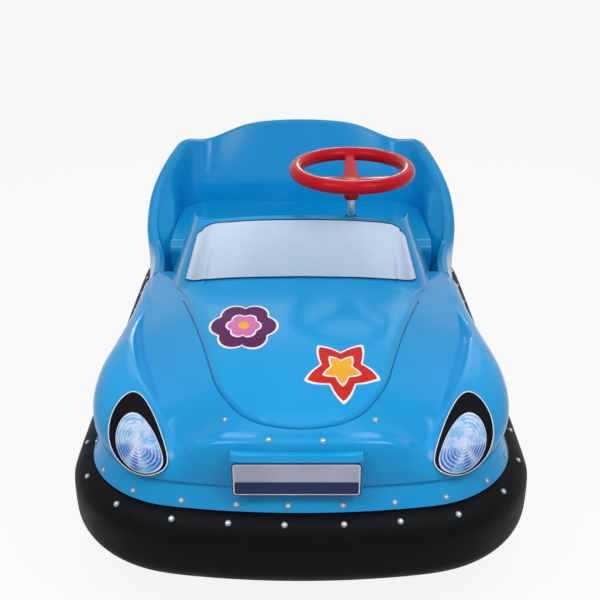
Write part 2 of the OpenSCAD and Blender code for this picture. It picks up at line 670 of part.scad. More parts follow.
module column_bearing_upper() color(FRAME_BLACK) {
    z = skirt_z + 335 * body_h / 520;
    difference() {
        union() {
            translate([column_x, -column_y, z]) cylinder(h = 26, d = 48, $fn = 64);
            translate([column_x - 20, -column_y, z])
                cube([40, column_y + split_y - 4 - shell_t - seat_gap, 26]);
        }
        translate([column_x, -column_y, z - 1])
            cylinder(h = 30, d = column_d + 2 * run_gap, $fn = 64);
    }
}
module column_bearing_lower() color(FRAME_BLACK) translate([column_x, -column_y, pan_top + seat_gap])
    difference() {
        union() {
            cylinder(h = 6, d = 74, $fn = 72);
            cylinder(h = 22, d = 42, $fn = 72);
        }
        translate([0, 0, -1]) cylinder(h = 30, d = column_d + 2 * run_gap, $fn = 64);
    }
tooth_h = 13;
function tooth(a) = let (tip = sprocket_d / 2, root = tip - tooth_h)
    [for (p = [[root, -8], [tip, -3], [tip, 3], [root, 8]])
        [p[0] * cos(a) - p[1] * sin(a), p[0] * sin(a) + p[1] * cos(a)]];
module sprocket(bore_r) difference() {
    linear_extrude(sprocket_t) polygon([for (k = [0:teeth - 1]) each tooth(k * 360 / teeth)]);
    translate([0, 0, -1]) cylinder(h = sprocket_t + 2, r = bore_r + run_gap, $fn = 64);
}
module steering_sprocket() color(STEEL) translate([column_x, -column_y, chain_z])
    sprocket(column_d / 2);
stem_r = 20;
module drive_sprocket() color(STEEL) translate([0, -drive_y, chain_z]) sprocket(stem_r);

chain_pitch = 25.4;
chain_r = sprocket_d / 2 + 3.5;
chain_span = norm([column_x, drive_y - column_y]);
chain_turn = atan2(column_x, drive_y - column_y);
chain_loop = 2 * chain_span + 2 * PI * chain_r;
function chain_point(d) =
    d < chain_span ? [chain_r, d] :
    d < chain_span + PI * chain_r ?
        let (a = (d - chain_span) / chain_r * 180 / PI)
        [chain_r * cos(a), chain_span + chain_r * sin(a)] :
    d < 2 * chain_span + PI * chain_r ? [-chain_r, chain_span - (d - chain_span - PI * chain_r)] :
    let (a = 180 + (d - 2 * chain_span - PI * chain_r) / chain_r * 180 / PI)
    [chain_r * cos(a), chain_r * sin(a)];
module chain_side() {
    module oval(r) {
        circle(r = r, $fn = 96);
        translate([0, chain_span]) circle(r = r, $fn = 96);
        translate([-r, 0]) square([2 * r, chain_span]);
    }
    linear_extrude(1.5) difference() {
        oval(chain_r + 5);
        oval(chain_r - 4);
    }
}
module steering_chain() color("#4a4d52") translate([0, -drive_y, chain_z]) rotate([0, 0, -chain_turn]) {
    translate([0, 0, -3]) chain_side();
    translate([0, 0, sprocket_t + 1.5]) chain_side();
    links = floor(chain_loop / chain_pitch);
    for (k = [0:links - 1]) let (p = chain_point(k * chain_loop / links))
        translate([p[0], p[1], -1.5]) cylinder(h = sprocket_t + 3, d = 6, $fn = 24);
}

// Drive unit: fork, motor and wheel, turning about an upright stem
fork_gap = 12;
fork_t = 10;
fork_top = frame_top + seat_gap - 14 - seat_gap;
arm_x = tyre_w / 2 + fork_gap;
module drive_fork() color(FRAME_BLACK) translate([0, -drive_y, 0]) {
    difference() {
        union() {
            translate([-arm_x - fork_t, -45, fork_top - fork_t])
                cube([2 * (arm_x + fork_t), 90, fork_t]);
            for (side = [-1, 1]) translate([side > 0 ? arm_x : -arm_x - fork_t, 0, 0]) {
                translate([0, -30, axle_z]) cube([fork_t, 60, fork_top - axle_z - 1]);
                translate([0, 0, axle_z]) rotate([0, 90, 0]) cylinder(h = fork_t, r = 30, $fn = 72);
            }
            translate([0, 0, fork_top - 1])
                cylinder(h = chain_z + sprocket_t + 5 - fork_top, r = stem_r, $fn = 72);
        }
        translate([-arm_x - fork_t - 1, 0, axle_z]) rotate([0, 90, 0])
            cylinder(h = 2 * (arm_x + fork_t + 1), d = axle_d + 2 * run_gap, $fn = 64);
    }
}
module drive_motor() color("#3a3d42")
    translate([arm_x + fork_t + seat_gap, -drive_y, axle_z]) rotate([0, 90, 0]) {
    cylinder(h = 26, d = 104, $fn = 72);
    translate([0, 0, 26]) cylinder(h = 78, d = 88, $fn = 72);
    translate([0, 0, 104]) cylinder(h = 12, d1 = 88, d2 = 70, $fn = 72);
}
module drive_axle() color(STEEL) translate([-arm_x - fork_t - 6, -drive_y, axle_z]) rotate([0, 90, 0])
    cylinder(h = 2 * (arm_x + fork_t) + 6, d = axle_d, $fn = 64);

// A wheel about its own axle, in two pieces
module hub() rotate([0, 90, 0]) difference() {
    union() {
        cylinder(h = tyre_w - 14, d = hub_d - 20, center = true, $fn = 96);
        difference() {
            cylinder(h = tyre_w, d = hub_d, center = true, $fn = 96);
            cylinder(h = tyre_w + 2, d = hub_d - 22, center = true, $fn = 96);
        }
        cylinder(h = tyre_w + 10, d = axle_d + 18, center = true, $fn = 72);
    }
    cylinder(h = tyre_w + 20, d = axle_d + 2 * run_gap, center = true, $fn = 64);
}
module tyre() rotate([0, 90, 0]) rotate_extrude($fn = 96) {
    inner = hub_d / 2 + seat_gap;
    shoulder = 9;
    translate([inner, -tyre_w / 2]) square([tyre_d / 2 - inner - shoulder, tyre_w]);
    translate([inner, -tyre_w / 2 + shoulder]) square([tyre_d / 2 - inner, tyre_w - 2 * shoulder]);
    for (end = [-1, 1]) translate([tyre_d / 2 - shoulder, end * (tyre_w / 2 - shoulder)])
        circle(r = shoulder, $fn = 48);
}
module drive_hub() color(STEEL) translate([0, -drive_y, axle_z]) hub();
module drive_tyre() color(RUBBER) translate([0, -drive_y, axle_z]) tyre();
module rear_hub(side) color(STEEL) translate([side * rear_x, rear_y, axle_z]) hub();
module rear_tyre(side) color(RUBBER) translate([side * rear_x, rear_y, axle_z]) tyre();
module rear_axle() color(STEEL) {
    length = 2 * (rear_x + tyre_w / 2 + 14);
    translate([0, rear_y, axle_z]) rotate([0, 90, 0])
        cylinder(h = length, d = axle_d, center = true, $fn = 64);
}
module axle_bracket(side) color(FRAME_BLACK) translate([side * rail_x, rear_y, 0]) difference() {
    union() {
        translate([-tube / 2, -50, frame_low - seat_gap - 8]) cube([tube, 100, 8]);
        translate([-8, -28, axle_z]) cube([16, 56, frame_low - seat_gap - 1 - axle_z]);
        translate([0, 0, axle_z]) rotate([0, 90, 0]) cylinder(h = 24, r = 28, center = true, $fn = 72);
    }
    translate([0, 0, axle_z]) rotate([0, 90, 0])
        cylinder(h = tube, d = axle_d + 2 * run_gap, center = true, $fn = 64);
}

front_shell();
rear_shell();
seat_bench();
dash_panel();
footwell_liner();
windscreen_panel();
plate_pad();
number_plate();
headlamp_bezel(1);  // headlamp_bezel_left
headlamp_bezel(-1);  // headlamp_bezel_right
headlamp_lens(1);  // headlamp_lens_left
headlamp_lens(-1);  // headlamp_lens_right
tail_lamp(1);  // tail_lamp_left
tail_lamp(-1);  // tail_lamp_right
bumper_ring();
bumper_carrier();
side_rail(1);  // side_rail_left
side_rail(-1);  // side_rail_right
cross_member(CROSS_Y[0]);  // cross_member_front
cross_member(CROSS_Y[1]);  // cross_member_middle
cross_member(CROSS_Y[2]);  // cross_member_seat
cross_member(CROSS_Y[3]);  // cross_member_rear
drive_mount();
floor_pan();
battery_pack();
accelerator_pedal();
steering_wheel();
steering_column();
column_bearing_upper();
column_bearing_lower();
steering_sprocket();
steering_chain();
drive_sprocket();
drive_fork();
drive_motor();
drive_axle();
drive_hub();
drive_tyre();
rear_axle();
axle_bracket(1);  // axle_bracket_left
axle_bracket(-1);  // axle_bracket_right
rear_hub(1);  // rear_hub_left
rear_hub(-1);  // rear_hub_right
rear_tyre(1);  // rear_tyre_left
rear_tyre(-1);  // rear_tyre_right
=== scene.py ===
"""Looks of a two-seat bumper car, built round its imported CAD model."""
import math

import bpy
from bpy.props import FloatProperty, FloatVectorProperty, IntProperty, PointerProperty
from mathutils import Matrix, Vector
from mathutils.bvhtree import BVHTree


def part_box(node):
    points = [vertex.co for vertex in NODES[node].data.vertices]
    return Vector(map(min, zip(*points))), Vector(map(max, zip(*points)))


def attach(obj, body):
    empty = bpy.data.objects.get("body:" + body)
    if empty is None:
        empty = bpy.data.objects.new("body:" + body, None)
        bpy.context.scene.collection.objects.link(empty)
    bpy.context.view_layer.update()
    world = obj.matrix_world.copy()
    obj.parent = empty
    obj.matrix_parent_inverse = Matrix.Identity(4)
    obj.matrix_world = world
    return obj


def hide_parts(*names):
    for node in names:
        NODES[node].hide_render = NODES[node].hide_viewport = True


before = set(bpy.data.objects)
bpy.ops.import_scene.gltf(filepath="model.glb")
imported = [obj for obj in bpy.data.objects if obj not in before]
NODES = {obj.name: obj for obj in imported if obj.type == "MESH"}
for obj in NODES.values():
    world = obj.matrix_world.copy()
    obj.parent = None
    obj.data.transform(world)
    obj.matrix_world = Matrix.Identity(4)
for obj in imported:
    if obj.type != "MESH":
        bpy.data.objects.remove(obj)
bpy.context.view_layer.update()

bl_info = {
    "name": "Bumper car",
    "version": (1, 0, 0),
    "blender": (4, 5, 0),
    "location": "View3D > Sidebar > Bumper car",
    "description": "Builds the moulded body, trim and finishes of a two-seat bumper car",
    "category": "Add Mesh",
}

DOWN = Vector((0, 0, -1))
FULL_TURN = 2 * math.pi
TAIL_RIDGES = 5


# Sizes and colours that a user would change

def length(name, description, default):
    return FloatProperty(name=name, description=description, default=default, min=0.0, unit="LENGTH")


def colour(name, description, default):
    return FloatVectorProperty(name=name, description=description, default=default, size=3,
                               min=0.0, max=1.0, subtype="COLOR")


class BumperCarSizes(bpy.types.PropertyGroup):
    """Sizes of the trim that is added to the CAD model"""
    screw_washer: length("Screw washer", "Radius of the washer under each body screw", 0.0072)
    screw_head: length("Screw head", "Radius of each body screw's head", 0.0046)
    screw_pitch: length("Screw pitch", "Distance between the screws round the skirt", 0.125)
    screen_line: length("Screen line", "Width of the dark line round the windscreen", 0.0036)
    bonnet_line: length("Bonnet line", "Width of the groove at the foot of the bonnet's step", 0.0070)
    lamp_line: length("Lamp line", "Width of the white line round each headlamp", 0.0026)
    motif: length("Motif", "Radius of the two motifs on the bonnet", 0.092)
    fillet: length("Wheel fillet", "Grain of the smoothing on the steering wheel", 0.0026)
    lens_ridges: IntProperty(name="Lens ridges", description="Number of rings in each headlamp lens",
                             default=8, min=3, max=12)


class BumperCarColours(bpy.types.PropertyGroup):
    """Colours of the car's finishes"""
    body: colour("Body", "Gel coat of the mouldings", (0.001, 0.318, 0.695))
    rubber: colour("Rubber", "Bumper ring", (0.0022, 0.0026, 0.0034))
    tyre: colour("Tyre", "Tyres", (0.014, 0.014, 0.015))
    steering: colour("Steering wheel", "Plastic of the steering wheel", (0.500, 0.005, 0.014))
    screen: colour("Windscreen", "Film on the windscreen panel", (0.480, 0.590, 0.750))
    navy: colour("Navy", "Lines and lower band of the plate", (0.012, 0.020, 0.110))
    plate: colour("Plate", "Field of the plate", (0.480, 0.500, 0.640))
    lamp: colour("Lamp", "Pale parts of the headlamp lenses", (0.500, 0.600, 0.840))
    lamp_blue: colour("Lamp blue", "Deep parts of the headlamp lenses", (0.002, 0.105, 0.540))
    tail: colour("Tail lamp", "Tail lamp lenses", (0.420, 0.008, 0.014))
    purple: colour("Purple", "Left motif on the bonnet", (0.095, 0.003, 0.085))
    red: colour("Red", "Right motif on the bonnet", (0.600, 0.020, 0.018))
    white: colour("White", "White lines and motif edges", (0.820, 0.830, 0.840))
    floor: colour("Floor", "Floor of the stage", (0.800, 0.800, 0.800))


def sizes():
    return bpy.context.scene.bumper_car_sizes


def colours():
    return bpy.context.scene.bumper_car_colours


# Finishes

def rgba(value):
    return (*value[:3], 1.0)


def shade(value, factor):
    return tuple(min(1.0, channel * factor) for channel in value[:3])


def put(socket, value):
    """Links a socket to another one, or sets it to a number, a vector or a colour."""
    if isinstance(value, bpy.types.NodeSocket):
        socket.id_data.links.new(value, socket)
    else:
        socket.default_value = rgba(value) if socket.type == "RGBA" else value


def add_node(tree, kind, inputs=None, **settings):
    """A new shader node with its settings. inputs gives values or links by a socket's name or number."""
    node = tree.nodes.new("ShaderNode" + kind)
    for key, value in settings.items():
        setattr(node, key, value)
    for key, value in (inputs or {}).items():
        put(node.inputs[key], value)
    return node


def new_material(name):
    material = bpy.data.materials.new(name)
    material.use_nodes = True
    return material


def new_finish(name):
    """A new material, and the socket of its object coordinates."""
    material = new_material(name)
    return material, add_node(material.node_tree, "TexCoord").outputs["Object"]


def dress(material, colour, rough, specular=0.5, relief=None, metallic=0.0):
    """Gives a material's shader its values. relief is a height with its strength and distance."""
    tree = material.node_tree
    shader = tree.nodes["Principled BSDF"].inputs
    put(shader["Base Color"], colour)
    put(shader["Roughness"], rough)
    put(shader["Specular IOR Level"], specular)
    put(shader["Metallic"], metallic)
    if relief:
        bump = add_node(tree, "Bump", dict(zip(("Height", "Strength", "Distance"), relief)))
        put(shader["Normal"], bump.outputs["Normal"])
    return material


def attribute(place, name):
    return add_node(place.id_data, "Attribute", attribute_name=name).outputs["Fac"]


def stretched(place, scale, turn=(0, 0, 0)):
    mapping = add_node(place.id_data, "Mapping", {"Vector": place, "Scale": scale, "Rotation": turn})
    return mapping.outputs["Vector"]


def noise(place, scale, detail=3.0, roughness=0.5):
    return add_node(place.id_data, "TexNoise", {
        "Vector": place, "Scale": scale, "Detail": detail, "Roughness": roughness}).outputs["Fac"]


def spread(value, low, high, start=0.3, end=0.7):
    """A value moved from start..end to low..high."""
    return add_node(value.id_data, "MapRange", {
        "Value": value, "To Min": low, "To Max": high, "From Min": start,
        "From Max": end}).outputs["Result"]


def maths(operation, *values, clamp=False):
    """The result of an operation on values, of which the first is a socket."""
    return add_node(values[0].id_data, "Math", dict(enumerate(values)), operation=operation,
                    use_clamp=clamp).outputs[0]


def ramp(value, *stops):
    """Colours along a value. stops are (place, colour) pairs."""
    node = add_node(value.id_data, "ValToRGB", {"Fac": value})
    elements = node.color_ramp.elements
    while len(elements) < len(stops):
        elements.new(0.5)
    for element, (place, tint) in zip(elements, stops):
        element.position = place
        element.color = rgba(tint)
    return node.outputs["Color"]


def clouded(value, tint, dark, pale):
    """A colour that varies with a noise between two shades of itself."""
    return ramp(value, (0.3, shade(tint, dark)), (0.7, shade(tint, pale)))


def blend_colours(factor, first, second):
    colour_a, colour_b, colour_result = 6, 7, 2
    mix = add_node(factor.id_data, "Mix", {"Factor": factor}, data_type="RGBA")
    put(mix.inputs[colour_a], first)
    put(mix.inputs[colour_b], second)
    return mix.outputs[colour_result]


def gel_coat(name, tint):
    """Polished gel coat: faint waves and orange peel, hazy patches, scratches, and dirt with painted
    shade in its grooves.
    """
    material, place = new_finish(name)
    base = clouded(noise(place, 2.6, 2.0), tint, 0.95, 1.05)
    dust = spread(noise(place, 5.0, 5.0, 0.55), 0.0, 0.022, 0.45, 0.75)
    dusty = blend_colours(dust, base, (0.42, 0.50, 0.58))
    # Painted shade with dirt: along the groove mark the colour is darkened towards a quarter of the body
    # colour, standing for the shade in the crease as well as dirt.
    dirt_and_shade = maths("MULTIPLY", attribute(place, "groove"),
                 spread(noise(place, 30.0), 0.55, 0.85))
    haze = spread(noise(place, 24.0, 4.0, 0.6), 0.15, 0.22)
    streaks = noise(stretched(place, (3.0, 70.0, 70.0), (0.3, 0.2, 0.7)), 3.0)
    scratches = spread(streaks, 0.0, 0.10, 0.62, 0.70)
    orange_peel, waves = noise(place, 320.0, 1.0), noise(place, 9.0, 2.0)
    relief = maths("MULTIPLY_ADD", orange_peel, 0.03, waves)
    return dress(material, blend_colours(dirt_and_shade, dusty, shade(tint, 0.25)), maths("ADD", haze, scratches),
                 0.23, (relief, 0.10, 0.003))


def moulded_rubber(name, tint, scuff, grain):
    """Dark rubber with pale scuffs and a fine grain."""
    material, place = new_finish(name)
    marks = noise(place, 16.0, 6.0, 0.65)
    base = ramp(marks, (0.42, tint), (0.66, shade(tint, 1.6)), (0.90, scuff))
    return dress(material, base, spread(marks, 0.42, 0.62), 0.07,
                 (noise(place, grain, 2.0), 0.25, 0.0006))


def gloss_plastic(name, tint, rough, gloss, patches=60.0):
    """Smooth moulded plastic with slight clouding. patches is the fineness of its hazy patches."""
    material, place = new_finish(name)
    haze = spread(noise(place, patches, 2.0), rough, rough + 0.10)
    return dress(material, clouded(noise(place, 9.0), tint, 0.90, 1.08), haze, gloss,
                 (noise(place, 260.0, 2.0), 0.05, 0.0004))


def metal(name, tint, rough, stained=0.0, streak=(1.0, 1.0, 1.0)):
    """Turned, brushed or zinc plated steel, with streaks along one axis and slight staining."""
    material, place = new_finish(name)
    lines = noise(stretched(place, streak), 180.0, 4.0)
    spots = spread(noise(place, 22.0, 5.0, 0.7), 0.0, stained, 0.52, 0.72)
    base = blend_colours(spots, clouded(lines, tint, 0.82, 1.12), (0.30, 0.22, 0.15))
    return dress(material, base, spread(lines, rough, rough + 0.18), relief=(lines, 0.08, 0.0003),
                 metallic=1.0)


def frame_paint(name, tint):
    """Satin paint with dust on it and rust where it has chipped."""
    material, place = new_finish(name)
    grime = noise(place, 7.0, 6.0, 0.6)
    base = ramp(grime, (0.35, tint), (0.75, shade(tint, 1.9)))
    chips = spread(noise(place, 48.0, 6.0, 0.75), 0.0, 1.0, 0.66, 0.70)
    return dress(material, blend_colours(chips, base, (0.14, 0.055, 0.025)),
                 spread(grime, 0.36, 0.62), relief=(noise(place, 300.0), 0.12, 0.0005))


def screen_film(name, tint):
    """Pale gloss film that darkens a little towards its foot."""
    material, place = new_finish(name)
    height = add_node(place.id_data, "SeparateXYZ", {"Vector": place}).outputs["Z"]
    low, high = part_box("windscreen_panel")
    rise = spread(height, 0.0, 1.0, low[2], high[2])
    base = ramp(rise, (0.0, shade(tint, 0.86)), (0.6, tint), (1.0, shade(tint, 1.12)))
    cloud = spread(noise(place, 6.0, 2.0), 0.0, 0.07, 0.4, 0.7)
    return dress(material, blend_colours(cloud, base, (0.62, 0.72, 0.84)),
                 spread(noise(place, 40.0), 0.24, 0.34), 0.28, (noise(place, 14.0, 2.0), 0.05, 0.001))


def ribbed_lens(name, pale, tinge, deep, core, rings):
    """Lens with pale and deep rings, which follow the piece's own attributes ring and depth."""
    material, place = new_finish(name)
    out = attribute(place, "ring")
    wave = maths("SINE", maths("MULTIPLY", out, rings * FULL_TURN))
    deep_rings = spread(wave, 0.10, 1.0, -0.7, 0.1)
    patches = spread(noise(place, 70.0), 0.80, 1.20, 0.35, 0.65)
    for factor in (patches, attribute(place, "depth")):
        deep_rings = maths("MULTIPLY", deep_rings, factor, clamp=True)
    fine_lines = maths("MULTIPLY", spread(wave, 0.0, 0.55, 0.0, 1.0),
                       spread(out, 0.0, 1.0, 0.35, 0.80))
    middle = spread(out, 0.8, 0.0, 0.05, 0.45)
    edge = spread(out, 0.0, 0.85, 0.93, 0.965)
    base = ramp(noise(place, 55.0, 4.0, 0.6), (0.44, pale), (0.60, tinge))
    for factor, tint in ((fine_lines, tinge), (deep_rings, deep), (middle, core), (edge, core)):
        base = blend_colours(factor, base, tint)
    return dress(material, base, spread(noise(place, 90.0, 2.0), 0.05, 0.12), 0.35)


FINISHES = {}


def finish(key):
    """The car's finishes, each made once."""
    if key in FINISHES:
        return FINISHES[key]
    tint = colours()
    makers = {
        "body": (gel_coat, "gel_coat_blue", tint.body),
        "rubber": (moulded_rubber, "bumper_rubber", tint.rubber, (0.022, 0.022, 0.025), 420.0),
        "tyre": (moulded_rubber, "tyre_rubber", tint.tyre, (0.14, 0.13, 0.12), 260.0),
        "steering": (gloss_plastic, "steering_wheel_red", tint.steering, 0.15, 0.09, 12.0),
        "steel": (metal, "turned_steel", (0.60, 0.61, 0.63), 0.24, 0.25, (1, 1, 12)),
        "zinc": (metal, "zinc_plate", (0.56, 0.58, 0.60), 0.30, 0.35),
        "chrome": (metal, "screw_chrome", (0.50, 0.53, 0.57), 0.22),
        "chain": (metal, "oiled_chain", (0.22, 0.22, 0.23), 0.32, 0.5),
        "washer": (gloss_plastic, "washer_nylon", (0.30, 0.34, 0.38), 0.35, 0.3),
        "frame": (frame_paint, "frame_black", (0.022, 0.023, 0.025)),
        "pan": (frame_paint, "pan_grey", (0.10, 0.105, 0.11)),
        "case": (gloss_plastic, "battery_case", (0.030, 0.031, 0.034), 0.45, 0.0),
        "screen": (screen_film, "windscreen_film", tint.screen),
        "navy": (gloss_plastic, "navy_film", tint.navy, 0.18, 0.25),
        "plate": (gloss_plastic, "plate_film", tint.plate, 0.18, 0.3),
        "black": (gloss_plastic, "lamp_black", (0.003, 0.003, 0.005), 0.30, 0.06),
        "white": (gloss_plastic, "white_line", tint.white, 0.25, 0.2),
        "lens": (ribbed_lens, "headlamp_lens", tint.lamp, (0.150, 0.440, 0.760), tint.lamp_blue,
                 (0.64, 0.70, 0.86), sizes().lens_ridges),
        "tail": (ribbed_lens, "tail_lens", shade(tint.tail, 1.5), shade(tint.tail, 0.9),
                 shade(tint.tail, 0.45), (0.62, 0.07, 0.06), TAIL_RIDGES),
        "purple": (gloss_plastic, "motif_purple", tint.purple, 0.25, 0.12),
        "pink": (gloss_plastic, "motif_pink", (0.62, 0.16, 0.42), 0.25, 0.12),
        "red": (gloss_plastic, "motif_red", tint.red, 0.25, 0.12),
        "yellow": (gloss_plastic, "motif_yellow", (0.85, 0.42, 0.03), 0.25, 0.12),
    }
    make, *values = makers[key]
    FINISHES[key] = make(*values)
    return FINISHES[key]


# Modelling steps that several pieces share

def only(*pieces):
    """Object mode, with just these objects selected and the first one active."""
    if bpy.context.object and bpy.context.object.mode != "OBJECT":
        bpy.ops.object.mode_set(mode="OBJECT")
    bpy.ops.object.select_all(action="DESELECT")
    for piece in pieces:
        piece.select_set(True)
    if pieces:
        bpy.context.view_layer.objects.active = pieces[0]


def edit(piece, select="SELECT"):
    only(piece)
    bpy.ops.object.mode_set(mode="EDIT")
    bpy.ops.mesh.select_all(action=select)


def leave_edit():
    bpy.ops.object.mode_set(mode="OBJECT")


def select(piece, kind, chosen):
    """Edit mode with only the points, edges or faces selected that are chosen."""
    parts = {"VERT": "vertices", "EDGE": "edges", "FACE": "polygons"}[kind]
    edit(piece, "DESELECT")
    bpy.ops.mesh.select_mode(type=kind)
    leave_edit()
    for item in getattr(piece.data, parts):
        item.select = chosen(item)
    bpy.ops.object.mode_set(mode="EDIT")


def faces_up(face):
    return face.normal.z > 0.99


def select_upper_edges(piece, height=0.0):
    """Edit mode with the edges selected whose ends both lie above a height in the mesh."""
    points = [v.co.z for v in piece.data.vertices]
    select(piece, "EDGE", lambda edge: min(points[index] for index in edge.vertices) > height)


def paint(piece, *keys):
    piece.data.materials.clear()
    for key in keys:
        piece.data.materials.append(finish(key))


def modify(piece, kind, **settings):
    modifier = piece.modifiers.new(kind.lower(), kind)
    for key, value in settings.items():
        setattr(modifier, key, value)


def apply_modifiers(piece):
    only(piece)
    for modifier in list(piece.modifiers):
        bpy.ops.object.modifier_apply(modifier=modifier.name)


def fix_place(piece):
    """Puts an object's place, turn and scale into its mesh."""
    only(piece)
    bpy.ops.object.transform_apply(location=True, rotation=True, scale=True)


def settle(piece, angle):
    """Puts the place into the mesh and smooths the shading under an angle."""
    fix_place(piece)
    bpy.ops.object.shade_smooth_by_angle(angle=math.radians(angle))


def done(piece, node=None, body="root"):
    """Hides the node that a piece stands for and says what it rides on."""
    if node:
        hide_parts(node)
    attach(piece, body)


def complete(piece, key, angle, node=None, body="root"):
    """Paints a piece, smooths its shading and says what it belongs to."""
    paint(piece, key)
    settle(piece, angle)
    done(piece, node, body)


def named(name):
    piece = bpy.context.object
    piece.name = name
    piece.data.name = name
    return piece


def joined(pieces, name):
    only(*pieces)
    bpy.ops.object.join()
    return named(name)


def box_of(node):
    """A CAD node's lowest and highest corners, and the middle between them."""
    low, high = (Vector(corner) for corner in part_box(node))
    return low, high, (low + high) / 2


def node_copy(node, name, quads=True):
    """A copy of a CAD node's mesh with its doubles merged and its triangles paired."""
    piece = bpy.data.objects.new(name, NODES[node].data.copy())
    bpy.context.scene.collection.objects.link(piece)
    piece.data.materials.clear()
    edit(piece)
    bpy.ops.mesh.customdata_custom_splitnormals_clear()
    bpy.ops.mesh.remove_doubles(threshold=0.00002)
    if quads:
        bpy.ops.mesh.tris_convert_to_quads(face_threshold=math.radians(60),
                                           shape_threshold=math.radians(80))
    leave_edit()
    return piece


def smooth(piece, sharp, level):
    """Subdivides a piece. Its edges that are sharper than an angle are creased first, so they stay."""
    edit(piece, "DESELECT")
    bpy.ops.mesh.select_mode(type="EDGE")
    bpy.ops.mesh.edges_select_sharp(sharpness=math.radians(sharp))
    bpy.ops.transform.edge_crease(value=1.0)
    leave_edit()
    modify(piece, "SUBSURF", levels=level, render_levels=level)
    apply_modifiers(piece)


def surface_of(*pieces):
    """The faces of some objects as one surface for rays."""
    points, faces = [], []
    for piece in pieces:
        start = len(points)
        points += [v.co.copy() for v in piece.data.vertices]
        faces += [[start + index for index in face.vertices] for face in piece.data.polygons]
    return BVHTree.FromPolygons(points, faces)


def hit(surface, start, direction):
    """Place and outward normal where a ray first meets the surface."""
    place, normal, _, _ = surface.ray_cast(Vector(start), Vector(direction).normalized())
    if place is None:
        raise RuntimeError("no surface under a fitting at %s" % (tuple(start),))
    if normal.dot(Vector(direction)) > 0:
        normal.negate()
    return place, normal


def ground(surface, point, outward, away=0.05):
    """Place on a surface under a point, found by a ray from some way outside it."""
    return hit(surface, point + outward * away, -outward)[0]


def facing(normal, place):
    """Matrix that turns +Z to the normal and moves the origin to the place."""
    return Matrix.Translation(place) @ Vector(normal).to_track_quat("Z", "Y").to_matrix().to_4x4()


def copies(model, name, matrices):
    """Copies of a model, each with its own mesh, joined as one piece."""
    made = []
    for matrix in matrices:
        piece = bpy.data.objects.new(name, model.data.copy())
        bpy.context.scene.collection.objects.link(piece)
        piece.data.transform(matrix)
        made.append(piece)
    only(model)
    bpy.ops.object.delete()
    return joined(made, name)


def tube_along(points, radius, name):
    """Closed round bar through points, made as a curve and turned into a mesh."""
    only()
    bpy.ops.curve.primitive_nurbs_path_add(location=(0, 0, 0))
    piece = bpy.context.object
    piece.data.splines.clear()
    line = piece.data.splines.new("POLY")
    line.points.add(len(points) - 1)
    for target, point in zip(line.points, points):
        target.co = (*point, 1.0)
    line.use_cyclic_u = True
    piece.data.dimensions = "3D"
    piece.data.bevel_depth = radius
    piece.data.bevel_resolution = 2
    piece.data.use_fill_caps = False
    only(piece)
    bpy.ops.object.convert(target="MESH")
    piece = named(name)
    edit(piece)
    bpy.ops.mesh.remove_doubles(threshold=0.00001)
    bpy.ops.mesh.normals_make_consistent(inside=False)
    leave_edit()
    return piece


def faces_beside(mesh):
    """For each edge, the faces that meet there."""
    beside = {}
    for face in mesh.polygons:
        for key in face.edge_keys:
            beside.setdefault(key, []).append(face)
    return beside


def bends_of(mesh):
    """For each edge with two faces, the angle between them in degrees, negative where it bulges."""
    bends = {}
    for key, faces in faces_beside(mesh).items():
        if len(faces) == 2:
            first, second = faces
            hollow = (second.center - first.center).dot(first.normal) > 0
            angle = math.degrees(first.normal.angle(second.normal))
            bends[key] = angle if hollow else -angle
    return bends


def line_from(mesh, bends, at, came, keep):
    """Vertices of the line of edges that runs straight on from an edge while keep says so."""
    straight_enough, bend_weight = 0.75, 0.01
    around = {}
    for key in bends:
        for vertex in key:
            around.setdefault(vertex, []).append(key)
    places = [v.co for v in mesh.vertices]
    line = []
    while keep(places[at]) and len(line) < len(places):
        line.append(at)
        back = (places[at] - places[came]).normalized()
        onward = []
        for key in around[at]:
            other = key[0] if key[1] == at else key[1]
            straight = (places[other] - places[at]).normalized().dot(back)
            if other != came and straight > straight_enough:
                onward.append((straight + bend_weight * bends[key], other))
        if not onward:
            break
        came, at = at, max(onward)[1]
    return line


def span_distance(point, start, end):
    """Distance from a point to the straight span between two places."""
    span = end - start
    share = max(0.0, min(1.0, (point - start).dot(span) / span.length_squared))
    return (point - start - span * share).length


def cut_groove(piece, near, keep, width, depth):
    """Cuts a narrow groove along the hollow line that passes near a place, and marks it as groove."""
    mesh = piece.data
    bends = bends_of(mesh)
    hollow_from = 10
    places = [v.co.copy() for v in mesh.vertices]
    first = min((key for key in bends if bends[key] > hollow_from),
                key=lambda key: ((places[key[0]] + places[key[1]]) / 2 - Vector(near)).length)
    line = (line_from(mesh, bends, first[0], first[1], keep)[::-1]
            + line_from(mesh, bends, first[1], first[0], keep))
    path = [places[index] for index in line]
    steps = {frozenset(pair) for pair in zip(line, line[1:])}
    select(piece, "EDGE", lambda edge: frozenset(edge.vertices) in steps)
    bpy.ops.mesh.bevel(offset=width / 2, segments=2)
    leave_edit()
    mesh.attributes.new("groove", "FLOAT", "POINT")
    select(piece, "VERT", lambda vertex: min(span_distance(vertex.co, a, b)
                                             for a, b in zip(path, path[1:])) < width / 4)
    bpy.ops.transform.translate(value=(0, 0, -depth))
    leave_edit()
    # The groove mark tells the gel coat where to darken its colour, as dirt and painted shade.
    for vertex, mark in zip(mesh.vertices, mesh.attributes["groove"].data):
        mark.value = float(vertex.select)


def moulded(node, name, key, sharp, level, shape=None):
    """Smooth moulding from a CAD node: merged, paired, shaped, creased and subdivided."""
    piece = node_copy(node, name)
    if shape:
        shape(piece)
    smooth(piece, sharp, level)
    complete(piece, key, 32.0, node)


# Pieces

